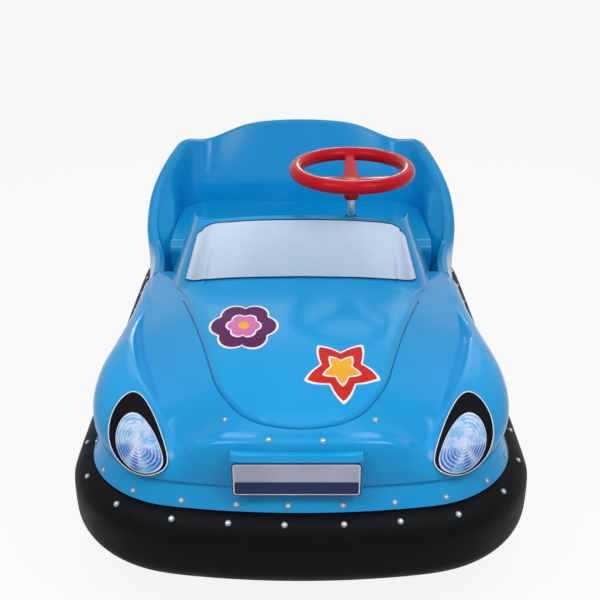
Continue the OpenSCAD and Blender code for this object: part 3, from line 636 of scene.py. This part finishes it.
class BUMPERCAR_OT_body(bpy.types.Operator):
    """Front and rear mouldings of the body as smooth gel-coated shells"""
    bl_idname = "bumper_car.body"
    bl_label = "Body mouldings"

    STEP_FOOT = (-0.235, -0.555, 0.527)
    LINE_ENDS_Y = -0.20
    LINE_DEPTH = 0.0030

    def execute(self, context):
        def bonnet_line(piece):
            cut_groove(piece, self.STEP_FOOT, lambda place: place.y < self.LINE_ENDS_Y,
                       sizes().bonnet_line, self.LINE_DEPTH)

        moulded("front_shell", "body_front", "body", 33, 1, bonnet_line)
        moulded("rear_shell", "body_rear", "body", 40, 1)
        for node in ("seat_bench", "dash_panel", "plate_pad"):
            paint(NODES[node], "body")
        return {"FINISHED"}


class BUMPERCAR_OT_bumper(bpy.types.Operator):
    """Rubber ring round the car"""
    bl_idname = "bumper_car.bumper"
    bl_label = "Bumper ring"

    def execute(self, context):
        moulded("bumper_ring", "ring", "rubber", 50, 2)
        paint(NODES["bumper_carrier"], "zinc")
        return {"FINISHED"}


def lay_on(panel, body, outward, outer, inner):
    """Lays a thin panel on a body. Its outer skin runs straight over hollows of the body."""
    faces_out, rounds = 0.45, 160
    mesh = panel.data
    sides = [v.normal.dot(outward) for v in mesh.vertices]
    skin = [side > faces_out for side in sides]
    under = [ground(body, v.co, outward) for v in mesh.vertices]
    level = [place.dot(outward) for place in under]
    near = [[] for _ in level]
    for first, second in (edge.vertices for edge in mesh.edges):
        if skin[first] and skin[second]:
            near[first].append(second)
            near[second].append(first)
    even = level[:]
    for _ in range(rounds):
        even = [max(low, sum(even[k] for k in beside) / len(beside)) if beside else low
                for low, beside in zip(level, near)]
    for index, vertex in enumerate(mesh.vertices):
        wall = inner if sides[index] < -faces_out else (inner + outer) / 2
        lift = even[index] - level[index] + outer if skin[index] else wall
        vertex.co = under[index] + outward * lift


def outer_edge(piece, outward):
    """Points in order round the edge of a disc's outer skin."""
    sharp_from, most_corners = math.radians(55), 11
    mesh = piece.data
    reach = {}
    for (first, second), faces in faces_beside(mesh).items():
        if len(faces) == 2 and faces[0].normal.angle(faces[1].normal) > sharp_from:
            reach.setdefault(first, []).append(second)
            reach.setdefault(second, []).append(first)
    loops = []
    while reach:
        at = next(iter(reach))
        loop = []
        while at in reach:
            loop.append(mesh.vertices[at].co.copy())
            onward = [other for other in reach.pop(at) if other in reach]
            at = onward[0] if onward else None
        if len(loop) > most_corners:
            loops.append(loop)
    return max(loops, key=lambda loop: sum(point.dot(outward) for point in loop) / len(loop))


def rounded(points, steps):
    """A smooth closed line through the points."""
    count = len(points)
    line = []
    for k in range(count):
        a, b, c, d = (points[(k + shift) % count] for shift in (-1, 0, 1, 2))
        for step in range(steps):
            t = step / steps
            line.append(0.5 * (2 * b + (c - a) * t + (2 * a - 5 * b + 4 * c - d) * t * t
                               + (3 * b - a - 3 * c + d) * t ** 3))
    return line


class BUMPERCAR_OT_windscreen(bpy.types.Operator):
    """Pale windscreen film with a dark line along its edge"""
    bl_idname = "bumper_car.windscreen"
    bl_label = "Windscreen"

    OUTWARD = Vector((0, -0.83, 0.56)).normalized()
    OUTER_LIFT, INNER_LIFT = 0.0030, 0.0004
    LINE_LIFT, LINE_STEP = 0.0120, 0.001

    def execute(self, context):
        body = surface_of(bpy.data.objects["body_front"])
        panel = node_copy("windscreen_panel", "windscreen")
        edge = rounded(outer_edge(panel, self.OUTWARD), 3)
        smooth(panel, 50, 2)
        lay_on(panel, body, self.OUTWARD, self.OUTER_LIFT, self.INNER_LIFT)
        complete(panel, "screen", 40.0, "windscreen_panel")
        skin = surface_of(panel)
        laid = []
        for point in edge:
            above = ground(body, point, self.OUTWARD) + self.OUTWARD * self.LINE_LIFT
            place = skin.find_nearest(above)[0]
            if not laid or (place - laid[-1]).length > self.LINE_STEP:
                laid.append(place)
        line = tube_along(laid, sizes().screen_line / 2, "windscreen_line")
        complete(line, "navy", 60.0)
        return {"FINISHED"}


def rounded_plate(name, width, height, place, corner, segments, thickness):
    """Flat plate about a place, with round corners, raised along +Z."""
    only()
    bpy.ops.mesh.primitive_plane_add(size=1.0, location=place)
    plate = named(name)
    plate.scale = (width, height, 1.0)
    fix_place(plate)
    edit(plate)
    bpy.ops.mesh.bevel(offset=corner, segments=segments, affect="VERTICES")
    bpy.ops.mesh.select_mode(type="FACE")
    bpy.ops.mesh.select_all(action="SELECT")
    bpy.ops.mesh.extrude_region_move(TRANSFORM_OT_translate={"value": (0, 0, thickness)})
    leave_edit()
    return plate


class BUMPERCAR_OT_plate(bpy.types.Operator):
    """Blank plate with a navy edge, a white line and a navy lower band"""
    bl_idname = "bumper_car.plate"
    bl_label = "Number plate"

    NAVY_EDGE, WHITE_LINE, FIELD_STEP, FIELD_DEPTH = 0.0028, 0.0024, 0.0006, 0.0004
    EDGE_SUNK = 0.0006
    BAND_SHARE, BAND_MARGIN, BAND_NARROWER = 0.36, 0.0060, 0.0125
    BAND_SUNK, BAND_RISE = 0.0009, 0.0007

    def execute(self, context):
        low, high, centre = box_of("number_plate")
        width, depth, height = high - low
        plate = rounded_plate("plate", width, height, (0, 0, 0), 0.010, 8, depth - self.EDGE_SUNK)
        paint(plate, "navy", "white", "plate")
        for slot, thickness, drop in ((1, self.NAVY_EDGE, 0.0), (2, self.WHITE_LINE, 0.0),
                                      (2, self.FIELD_STEP, self.FIELD_DEPTH)):
            select(plate, "FACE", lambda face: face.normal.z > 0.9 and face.center.length < 0.02)
            bpy.ops.mesh.inset(thickness=thickness, depth=-drop)
            plate.active_material_index = slot
            bpy.ops.object.material_slot_assign()
            leave_edit()
        middle_y = -height / 2 + self.BAND_MARGIN + height * self.BAND_SHARE / 2
        band = rounded_plate("plate_band", width - self.BAND_NARROWER, height * self.BAND_SHARE,
                             (0, middle_y, depth - self.BAND_SUNK), 0.003, 4, self.BAND_RISE)
        paint(band, "navy")
        whole = joined([plate, band], "plate")
        edit(whole)
        bpy.ops.mesh.normals_make_consistent(inside=False)
        leave_edit()
        upright = Matrix(((1, 0, 0, 0), (0, 0, -1, 0), (0, 1, 0, 0), (0, 0, 0, 1)))
        back = Vector((centre.x, high.y, centre.z))
        whole.data.transform(Matrix.Translation(back) @ upright)
        settle(whole, 30.0)
        done(whole, "number_plate")
        return {"FINISHED"}


def wedge(turn, middle, half):
    """1 at an angle and 0 at half degrees to its sides. turn is in radians, the others in degrees."""
    away = (math.degrees(turn) - middle) / half
    return math.sqrt(max(0.0, 1 - away * away))


def lens_coordinates(piece):
    """Gives a lens the attributes ring, from 0 at its centre to 1 at its edge, and depth of tint."""
    cells, rounds = 72, 3
    # Deep sectors of the lens: the angle of their middle from its foot, and half their width
    foot, sides, top, top_depth = (0, 15), (62, 28), (130, 25), 0.10
    mesh = piece.data
    points = [v.co for v in mesh.vertices]
    centre = sum(points, Vector()) / len(points)
    outward = sum((face.normal * face.area for face in mesh.polygons
                   if face.normal.dot(centre * Vector((1, 1, 0))) > 0), Vector()).normalized()
    across = Vector((0, 0, 1)).cross(outward).normalized()
    up = outward.cross(across).normalized()
    polar = []
    reach = [0.0] * cells
    for point in points:
        a, b = (point - centre).dot(across), (point - centre).dot(up)
        radius, turn = math.hypot(a, b), math.atan2(a, -b)
        polar.append((radius, turn))
        cell = int((turn / FULL_TURN % 1.0) * cells) % cells
        reach[cell] = max(reach[cell], radius)
    for _ in range(rounds):
        reach = [(reach[k - 1] + reach[k] + reach[(k + 1) % cells]) / 3 for k in range(cells)]
    for name in ("ring", "depth"):
        mesh.attributes.new(name, "FLOAT", "POINT")
    ring, depth = mesh.attributes["ring"].data, mesh.attributes["depth"].data
    for index, (radius, turn) in enumerate(polar):
        at = (turn / FULL_TURN % 1.0) * cells - 0.5
        first, share = math.floor(at), at - math.floor(at)
        edge = reach[first % cells] * (1 - share) + reach[(first + 1) % cells] * share
        ring[index].value = min(1.0, radius / edge)
        turn = abs(turn)
        depth[index].value = max(wedge(turn, *foot), wedge(turn, *sides), top_depth * wedge(turn, *top))
    return outward


def raise_ribs(piece, outward, count, height):
    """Raises rings on the outer side of a lens along its attribute ring."""
    faces_out, first, last = 0.3, 0.06, 0.93
    mesh = piece.data
    normals = [v.normal.copy() for v in mesh.vertices]
    for vertex, normal, mark in zip(mesh.vertices, normals, mesh.attributes["ring"].data):
        if normal.dot(outward) > faces_out and first < mark.value < last:
            vertex.co += outward * height * math.sin(mark.value * count * FULL_TURN)


def lens(node, name, key, ridges, level, height):
    """Ribbed lens from a CAD node. level is its subdivision and height that of its ribs."""
    piece = node_copy(node, name)
    smooth(piece, 45, level)
    raise_ribs(piece, lens_coordinates(piece), ridges, height)
    complete(piece, key, 50.0, node)


class BUMPERCAR_OT_headlamps(bpy.types.Operator):
    """Headlamps: black ovals with a white edge line and ribbed lenses"""
    bl_idname = "bumper_car.headlamps"
    bl_label = "Headlamps"

    def execute(self, context):
        for side, sign in (("left", 1), ("right", -1)):
            node = "headlamp_bezel_" + side
            oval = node_copy(node, "lamp_oval_" + side)
            edge = outer_edge(oval, Vector((0.5 * sign, -0.75, 0.45)))
            smooth(oval, 50, 2)
            complete(oval, "black", 40.0, node)
            line = tube_along(rounded(edge, 4), sizes().lamp_line / 2, "lamp_edge_" + side)
            complete(line, "white", 60.0)
            lens("headlamp_lens_" + side, "lamp_lens_" + side, "lens",
                 sizes().lens_ridges, 4, 0.0007)
        return {"FINISHED"}


class BUMPERCAR_OT_tail_lamps(bpy.types.Operator):
    """Ribbed red lenses on the tail"""
    bl_idname = "bumper_car.tail_lamps"
    bl_label = "Tail lamps"

    def execute(self, context):
        for side in ("left", "right"):
            lens("tail_lamp_" + side, "tail_lens_" + side, "tail", TAIL_RIDGES, 3, 0.0006)
        return {"FINISHED"}


def peg(name, sides, radius, bottom, height, bevel, segments=2):
    """Upright peg about the Z axis. Its upper rim is bevelled, unless bevel is 0."""
    only()
    bpy.ops.mesh.primitive_cylinder_add(vertices=sides, radius=radius, depth=height,
                                        location=(0, 0, bottom + height / 2))
    piece = named(name)
    if bevel:
        select_upper_edges(piece)
        bpy.ops.mesh.bevel(offset=bevel, segments=segments)
        leave_edit()
    return piece


def screw_model():
    """Domed screw on a washer, at the origin and along +Z."""
    sides, washer_height, head_height = 20, 0.0012, 0.0032
    washer = peg("washer", sides, sizes().screw_washer, 0.0, washer_height, 0.0005)
    head = peg("head", sides, sizes().screw_head, washer_height, head_height, 0.0019, 3)
    select(head, "FACE", faces_up)
    bpy.ops.mesh.inset(thickness=0.0008)
    bpy.ops.mesh.extrude_region_move(TRANSFORM_OT_translate={"value": (0, 0, -0.0014)})
    leave_edit()
    for piece, key in ((washer, "washer"), (head, "chrome")):
        paint(piece, key)
        settle(piece, 30.0)
    return joined([washer, head], "screw")


def round_places(surface, z, pitch):
    """Places and normals at an even pitch round the car, found by rays towards the middle."""
    rays, far, start = 720, 1.2, 0.100
    path = []
    for step in range(rays):
        turn = FULL_TURN * step / rays - math.pi / 2
        away = Vector((math.cos(turn), math.sin(turn), 0))
        path.append(hit(surface, away * far + Vector((0, 0, z)), -away))
    marks = [0.0]
    for first, second in zip(path, path[1:] + path[:1]):
        marks.append(marks[-1] + (second[0] - first[0]).length)
    total = marks[-1]
    count = round(total / pitch)
    places = []
    for index in range(count):
        target = (start + total * index / count) % total
        places.append(path[next(k for k in range(rays) if marks[k + 1] > target)])
    return places


class BUMPERCAR_OT_screws(bpy.types.Operator):
    """Screws with pale washers round the skirt, on the nose and through the ring's flange"""
    bl_idname = "bumper_car.screws"
    bl_label = "Body screws"

    BAND_HEIGHT = 0.017
    NOSE = ((-0.178, -0.755), (-0.074, -0.815), (0.050, -0.8175), (0.173, -0.758))
    ABOVE_CAR = 1.0
    FLANGE_PITCH = 1.04
    FLANGE_OUT, ABOVE_FLANGE = 0.034, Vector((0, 0, 0.3))

    def execute(self, context):
        front, rear, rubber = (bpy.data.objects[name] for name in ("body_front", "body_rear", "ring"))
        shells, bonnet, ring = surface_of(front, rear), surface_of(front), surface_of(rubber)
        band_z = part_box("front_shell")[0][2] + self.BAND_HEIGHT
        pitch = sizes().screw_pitch
        nose = [hit(bonnet, (x, y, self.ABOVE_CAR), DOWN) for x, y in self.NOSE]
        flange = []
        for place, normal in round_places(shells, band_z, pitch * self.FLANGE_PITCH):
            level = Vector((normal.x, normal.y, 0)).normalized()
            flange.append(hit(ring, place + level * self.FLANGE_OUT + self.ABOVE_FLANGE, DOWN))
        for name, fixings in (("skirt_screws", round_places(shells, band_z, pitch)),
                              ("nose_screws", nose), ("flange_screws", flange)):
            matrices = [facing(normal, place) for place, normal in fixings]
            done(copies(screw_model(), name, matrices))
        return {"FINISHED"}


def motif_layer(outline, key, centre, lift, target):
    """Flat layer of a motif, laid on the bonnet. outline gives a radius in metres for an angle."""
    corners, cuts, lengthwise, film = 80, 5, 1.22, 0.0004
    only()
    bpy.ops.mesh.primitive_circle_add(vertices=corners, radius=1.0, fill_type="TRIFAN",
                                      location=(0, 0, 0))
    layer = named("layer")
    for vertex in layer.data.vertices:
        if vertex.co.length > 0:
            angle = math.atan2(vertex.co.y, vertex.co.x)
            reach = outline(angle)
            vertex.co = (reach * math.cos(angle), lengthwise * reach * math.sin(angle), 0)
    edit(layer)
    bpy.ops.mesh.subdivide(number_cuts=cuts)
    leave_edit()
    layer.location = (*centre, 1.0)
    fix_place(layer)
    modify(layer, "SHRINKWRAP", wrap_method="PROJECT", use_project_z=True, use_negative_direction=True,
           use_positive_direction=False, target=target, offset=lift)
    apply_modifiers(layer)
    edit(layer)
    bpy.ops.mesh.normals_make_consistent(inside=False)
    leave_edit()
    if sum(face.normal.z for face in layer.data.polygons) < 0:
        edit(layer)
        bpy.ops.mesh.flip_normals()
        leave_edit()
    modify(layer, "SOLIDIFY", thickness=film, offset=-1.0)
    apply_modifiers(layer)
    paint(layer, key)
    return layer


def blossom(size):
    """Outline with six round petals."""
    return lambda angle: size * (0.80 + 0.20 * abs(math.cos(3.0 * angle)) ** 0.8)


def star(size):
    """Outline with five soft points, turned a little."""
    def reach(angle):
        share = ((angle + 0.3) * 5 / FULL_TURN) % 1.0
        return size * (0.56 + 0.44 * (abs(share - 0.5) * 2) ** 1.35)
    return reach


def dot(size):
    return lambda angle: size


class BUMPERCAR_OT_motifs(bpy.types.Operator):
    """Two plain motifs on the bonnet: a purple blossom and a red star, each with a white edge"""
    bl_idname = "bumper_car.motifs"
    bl_label = "Bonnet motifs"

    MOTIFS = {
        "motif_blossom": ((-0.150, -0.430), (
            (blossom, 1.0, "white"), (blossom, 0.93, "purple"), (blossom, 0.52, "white"),
            (blossom, 0.46, "pink"), (dot, 0.16, "yellow"))),
        "motif_star": ((0.100, -0.612), (
            (star, 1.08, "white"), (star, 0.98, "red"), (star, 0.56, "white"),
            (star, 0.48, "yellow"))),
    }
    FIRST_LIFT, LAYER_LIFT = 0.0005, 0.0003

    def execute(self, context):
        bonnet = bpy.data.objects["body_front"]
        radius = sizes().motif
        for name, (centre, rows) in self.MOTIFS.items():
            layers = [motif_layer(outline(radius * share), key, centre,
                                  self.FIRST_LIFT + self.LAYER_LIFT * step, bonnet)
                      for step, (outline, share, key) in enumerate(rows)]
            piece = joined(layers, name)
            settle(piece, 30.0)
            done(piece)
        return {"FINISHED"}


class BUMPERCAR_OT_steering(bpy.types.Operator):
    """Steering wheel with filleted spokes, its column and the rubber ring on the dash"""
    bl_idname = "bumper_car.steering"
    bl_label = "Steering"

    RELAX_ROUNDS, RELAX_IN, RELAX_OUT = 14, 0.5, -0.52
    RING_RADIUS, RING_THICK, RING_LIFT = 0.0165, 0.0034, 0.0012
    BESIDE_COLUMN, ABOVE_DASH = 0.0185, 0.80

    def execute(self, context):
        wheel = node_copy("steering_wheel", "wheel", quads=False)
        modify(wheel, "REMESH", mode="VOXEL", voxel_size=sizes().fillet)
        for factor in (self.RELAX_IN, self.RELAX_OUT) * self.RELAX_ROUNDS:
            modify(wheel, "SMOOTH", factor=factor)
        apply_modifiers(wheel)
        complete(wheel, "steering", 60.0, "steering_wheel", "steering")
        paint(NODES["steering_column"], "steel")
        x, y, _ = box_of("steering_column")[2]
        dash = surface_of(bpy.data.objects["body_front"])
        place, _ = hit(dash, (x + self.BESIDE_COLUMN, y, self.ABOVE_DASH), DOWN)
        only()
        bpy.ops.mesh.primitive_torus_add(major_radius=self.RING_RADIUS, minor_radius=self.RING_THICK,
                                         major_segments=48, minor_segments=12,
                                         location=(x, y, place.z + self.RING_LIFT))
        complete(named("dash_grommet"), "rubber", 60.0)
        return {"FINISHED"}


def spun_tyre(name, centre, half, inner, outer):
    """Solid tyre about an X axis: a plane as its section, with round shoulders and grooves, spun."""
    shoulder, groove, wall, tiny = 0.009, 0.0035, 0.001, 0.0001
    grooves, block_edge = ((-0.0115, -0.0075), (-0.0020, 0.0020), (0.0075, 0.0115)), 0.0145
    only()
    bpy.ops.mesh.primitive_plane_add(size=1.0, location=(0, 0, (inner + outer) / 2))
    tyre = named(name)
    tyre.scale = (2 * half, outer - inner, 1.0)
    tyre.rotation_euler = (math.pi / 2, 0, 0)
    fix_place(tyre)
    profile = [(-half + shoulder + wall, 0.0)]
    for left, right in grooves:
        profile += [(left - wall, 0.0), (left, groove), (right, groove), (right + wall, 0.0)]
    profile += [(block_edge, 0.0), (half - shoulder - wall, 0.0)]
    select_upper_edges(tyre, outer - tiny)
    bpy.ops.mesh.subdivide(number_cuts=len(profile))
    leave_edit()
    tread = sorted((v for v in tyre.data.vertices
                    if v.co.z > outer - tiny and abs(v.co.x) < half - tiny), key=lambda v: v.co.x)
    for vertex, (x, drop) in zip(tread, profile):
        vertex.co.x = x
        vertex.co.z -= drop
    select(tyre, "VERT", lambda v: v.co.z > outer - tiny and abs(v.co.x) > half - tiny)
    bpy.ops.mesh.bevel(offset=shoulder, segments=5, affect="VERTICES")
    bpy.ops.mesh.select_all(action="SELECT")
    bpy.ops.mesh.delete(type="ONLY_FACE")
    bpy.ops.mesh.select_all(action="SELECT")
    bpy.ops.mesh.spin(steps=72, angle=FULL_TURN, center=(0, 0, 0), axis=(1, 0, 0))
    bpy.ops.mesh.select_all(action="SELECT")
    bpy.ops.mesh.remove_doubles(threshold=0.00002)
    bpy.ops.mesh.normals_make_consistent(inside=False)
    leave_edit()
    tyre.location = centre
    fix_place(tyre)
    return tyre


class BUMPERCAR_OT_tyres(bpy.types.Operator):
    """Solid rubber tyres with grooves and cross cuts"""
    bl_idname = "bumper_car.tyres"
    bl_label = "Tyres"

    TYRES = (("drive_tyre", "drive_wheel"), ("rear_tyre_left", "rear_wheel_left"),
             ("rear_tyre_right", "rear_wheel_right"))
    BLOCK_DEGREES, BLOCKS_FROM, TREAD, SEAT = 5, 0.0150, 0.004, 0.0003
    CUT_MARGIN, CUT_DEPTH = 0.0006, 0.0022

    def execute(self, context):
        for node, body in self.TYRES:
            _, high, centre = box_of(node)
            half, outer = high.x - centre.x, high.z - centre.z
            _, hub_high, hub_centre = box_of(node.replace("tyre", "hub"))
            inner = hub_high.z - hub_centre.z + self.SEAT
            tyre = spun_tyre(body + "_tyre", centre, half, inner, outer)

            def cross_cut(face):
                away = face.center - centre
                turn = math.degrees(math.atan2(away.z, away.y)) / self.BLOCK_DEGREES
                return (abs(away.x) > self.BLOCKS_FROM and away.yz.length > outer - self.TREAD
                        and round(turn - 0.5) % 2 == 0)
            select(tyre, "FACE", cross_cut)
            bpy.ops.mesh.inset(thickness=self.CUT_MARGIN, depth=-self.CUT_DEPTH)
            leave_edit()
            complete(tyre, "tyre", 35.0, node, body)
        return {"FINISHED"}


def hex_head(name, radius, height, bevel):
    """Hexagon head with a raised middle, standing on the origin along +Z."""
    head = peg(name, 6, radius, 0.0, height, bevel)
    select(head, "FACE", faces_up)
    bpy.ops.mesh.inset(thickness=radius * 0.18)
    bpy.ops.mesh.inset(thickness=radius * 0.08, depth=height * 0.06)
    leave_edit()
    paint(head, "zinc")
    settle(head, 30.0)
    return head


def rib_model(length_x, width, height):
    """Low bar along X with its upper edges broken, standing a little into the XY plane."""
    only()
    bpy.ops.mesh.primitive_cube_add(size=1.0, location=(0, 0, height / 3))
    rib = named("rib")
    rib.scale = (length_x, width, height)
    fix_place(rib)
    select_upper_edges(rib)
    bpy.ops.mesh.bevel(offset=height / 3, segments=2)
    leave_edit()
    paint(rib, "rubber")
    settle(rib, 30.0)
    return rib


class BUMPERCAR_OT_fasteners(bpy.types.Operator):
    """Bolts of the rear hubs, nuts on the axle's ends and rubber ribs on the pedal"""
    bl_idname = "bumper_car.fasteners"
    bl_label = "Fasteners and pedal ribs"

    # Radius, height and bevel of a head
    BOLT = (0.0052, 0.0046, 0.000736)
    NUT = (0.0165, 0.0072, 0.0)
    NUT_GAP = 0.0008
    BOLTS, BOLT_CIRCLE, ABOVE_HUB = 5, 0.030, 0.2
    RIB = (0.062, 0.0060, 0.0024)
    PEDAL_SLOPE = Vector((0, 0.469, 0.883)).normalized()
    PEDAL_BACK, PEDAL_DROP = 0.0485, 0.0250
    RIB_PLACES = (-0.036, -0.018, 0.0, 0.018, 0.036)

    def execute(self, context):
        for side, sign in (("left", 1), ("right", -1)):
            hub = "rear_hub_" + side
            low, high, centre = box_of(hub)
            outward = Vector((sign, 0, 0))
            surface = surface_of(NODES[hub])
            places = []
            for step in range(self.BOLTS):
                turn = FULL_TURN * step / self.BOLTS
                spot = centre + self.BOLT_CIRCLE * Vector((0, math.cos(turn), math.sin(turn)))
                places.append(facing(outward, ground(surface, spot, outward, self.ABOVE_HUB)))
            bolts = copies(hex_head("bolt", *self.BOLT), "hub_bolts_" + side, places)
            done(bolts, body="rear_wheel_" + side)
            end = high.x if sign > 0 else low.x
            at = facing(outward, Vector((end + sign * self.NUT_GAP, centre.y, centre.z)))
            nut = copies(hex_head("nut", *self.NUT), "axle_nut_" + side, [at])
            done(nut)

        slope = self.PEDAL_SLOPE
        along = Vector((0, slope.z, -slope.y))
        turned = Matrix((Vector((1, 0, 0)), along, slope)).transposed().to_4x4()
        low, high, centre = box_of("accelerator_pedal")
        middle = Vector((centre.x, low.y + self.PEDAL_BACK, high.z - self.PEDAL_DROP))
        surface = surface_of(NODES["accelerator_pedal"])
        places = [Matrix.Translation(ground(surface, middle + along * shift, slope)) @ turned
                  for shift in self.RIB_PLACES]
        done(copies(rib_model(*self.RIB), "pedal_ribs", places))
        return {"FINISHED"}


class BUMPERCAR_OT_running_gear(bpy.types.Operator):
    """Finishes of the frame, drive unit, axles, floor and battery"""
    bl_idname = "bumper_car.running_gear"
    bl_label = "Running gear"

    FINISH_OF = {
        "frame": ("side_rail_left", "side_rail_right", "cross_member_front", "cross_member_middle",
                  "cross_member_seat", "cross_member_rear", "drive_mount", "column_bearing_upper",
                  "column_bearing_lower", "drive_fork", "axle_bracket_left", "axle_bracket_right",
                  "footwell_liner", "drive_motor"),
        "pan": ("floor_pan",),
        "case": ("battery_pack",),
        "zinc": ("accelerator_pedal", "steering_sprocket", "drive_sprocket", "drive_hub",
                 "rear_hub_left", "rear_hub_right"),
        "chain": ("steering_chain",),
        "steel": ("drive_axle", "rear_axle"),
    }

    def execute(self, context):
        for key, nodes in self.FINISH_OF.items():
            for node in nodes:
                paint(NODES[node], key)
        return {"FINISHED"}


# Stage

def area_light(name, place, target, size, energy):
    only()
    bpy.ops.object.light_add(type="AREA", location=place)
    light = bpy.context.object
    light.name = name
    light.data.shape = "RECTANGLE"
    light.data.size, light.data.size_y = size
    light.data.energy = energy
    light.rotation_euler = (Vector(target) - Vector(place)).to_track_quat("-Z", "Y").to_euler()
    return light


def seen_rays(tree):
    """1 for rays from the camera, off gloss or through glass, and 0 for rays that only light."""
    rays = add_node(tree, "LightPath").outputs
    last = rays["Is Camera Ray"]
    for kind in ("Is Glossy Ray", "Is Transmission Ray"):
        last = maths("MAXIMUM", last, rays[kind])
    return last


class BUMPERCAR_OT_stage(bpy.types.Operator):
    """Pale floor, soft lights, white surroundings and the camera"""
    bl_idname = "bumper_car.stage"
    bl_label = "Stage"

    SKY_LIGHT = 0.38
    FLOOR_GLOW = 0.89
    FLOOR_SIZE, FLOOR_DROP = 40.0, 0.0005
    LIGHTS = (
        ("over_nose_left", (-1.1, -1.4, 2.2), (-0.2, -0.5, 0.4), (0.9, 0.9), 16),
        ("over_nose_right", (1.1, -1.4, 2.2), (0.2, -0.5, 0.4), (0.9, 0.9), 18),
        ("overhead", (0, -0.6, 4.2), (0, -0.1, 0.4), (3.0, 3.0), 24),
        ("rim", (0.4, 2.8, 2.8), (0, 0, 0.5), (2.8, 1.4), 12),
        ("spark", (-0.7, -1.9, 2.5), (0, -0.4, 0.5), (0.16, 0.16), 2.0),
    )
    CAMERA_PLACE, CAMERA_TILT = (0, -2.569, 1.660), 25.64
    LENS, SENSOR, SHIFT = 55.09, 36.0, -1 / 600

    def execute(self, context):
        scene = context.scene
        scene.view_settings.view_transform = "Standard"
        scene.world = bpy.data.worlds.new("surroundings")
        scene.world.use_nodes = True
        tree = scene.world.node_tree
        tree.nodes.clear()
        light = add_node(tree, "Background", {"Strength": self.SKY_LIGHT})
        seen = add_node(tree, "Background", {"Strength": 1.0, "Color": (1, 1, 1)})
        mixed = add_node(tree, "MixShader", {0: seen_rays(tree), 1: light.outputs[0],
                                             2: seen.outputs[0]})
        add_node(tree, "OutputWorld", {"Surface": mixed.outputs[0]})

        only()
        bpy.ops.mesh.primitive_plane_add(size=self.FLOOR_SIZE, location=(0, 0, -self.FLOOR_DROP))
        floor = named("floor")
        material = dress(new_material("floor_white"), colours().floor, 0.9)
        tree = material.node_tree
        glow = add_node(tree, "Emission", {"Strength": 1.0})
        share = maths("MULTIPLY", seen_rays(tree), self.FLOOR_GLOW)
        ground_mix = add_node(tree, "MixShader", {
            0: share, 1: tree.nodes["Principled BSDF"].outputs[0], 2: glow.outputs[0]})
        put(tree.nodes["Material Output"].inputs["Surface"], ground_mix.outputs[0])
        floor.data.materials.append(material)

        for row in self.LIGHTS:
            area_light(*row)
        low = area_light("low_rear", (0.25, 2.5, 1.42), (0, -0.3, 0.5), (0.40, 0.22), 5.0)
        low.visible_camera = False

        only()
        bpy.ops.object.camera_add(location=self.CAMERA_PLACE,
                                  rotation=(math.radians(90 - self.CAMERA_TILT), 0, 0))
        camera = bpy.context.object
        camera.name = "photo_camera"
        camera.data.lens = self.LENS
        camera.data.sensor_width = self.SENSOR
        camera.data.shift_x = self.SHIFT
        scene.camera = camera
        return {"FINISHED"}


PIECE_OPERATORS = (
    BUMPERCAR_OT_body, BUMPERCAR_OT_bumper, BUMPERCAR_OT_windscreen, BUMPERCAR_OT_plate,
    BUMPERCAR_OT_headlamps, BUMPERCAR_OT_tail_lamps, BUMPERCAR_OT_screws, BUMPERCAR_OT_motifs,
    BUMPERCAR_OT_steering, BUMPERCAR_OT_tyres, BUMPERCAR_OT_running_gear, BUMPERCAR_OT_fasteners,
    BUMPERCAR_OT_stage,
)


class BUMPERCAR_PT_panel(bpy.types.Panel):
    """Lists the car's pieces, sizes and colours"""
    bl_idname = "BUMPERCAR_PT_panel"
    bl_label = "Bumper car"
    bl_space_type = "VIEW_3D"
    bl_region_type = "UI"
    bl_category = "Bumper car"

    def draw(self, context):
        for operator in PIECE_OPERATORS:
            self.layout.operator(operator.bl_idname)
        for group in (context.scene.bumper_car_sizes, context.scene.bumper_car_colours):
            box = self.layout.box()
            for name in group.__annotations__:
                box.prop(group, name)


CLASSES = (BumperCarSizes, BumperCarColours, *PIECE_OPERATORS, BUMPERCAR_PT_panel)


def register():
    for item in CLASSES:
        bpy.utils.register_class(item)
    bpy.types.Scene.bumper_car_sizes = PointerProperty(type=BumperCarSizes)
    bpy.types.Scene.bumper_car_colours = PointerProperty(type=BumperCarColours)


def unregister():
    del bpy.types.Scene.bumper_car_colours
    del bpy.types.Scene.bumper_car_sizes
    for item in reversed(CLASSES):
        bpy.utils.unregister_class(item)


def main():
    register()
    for operator in PIECE_OPERATORS:
        group, name = operator.bl_idname.split(".")
        getattr(getattr(bpy.ops, group), name)()


if __name__ == "__main__":
    main()
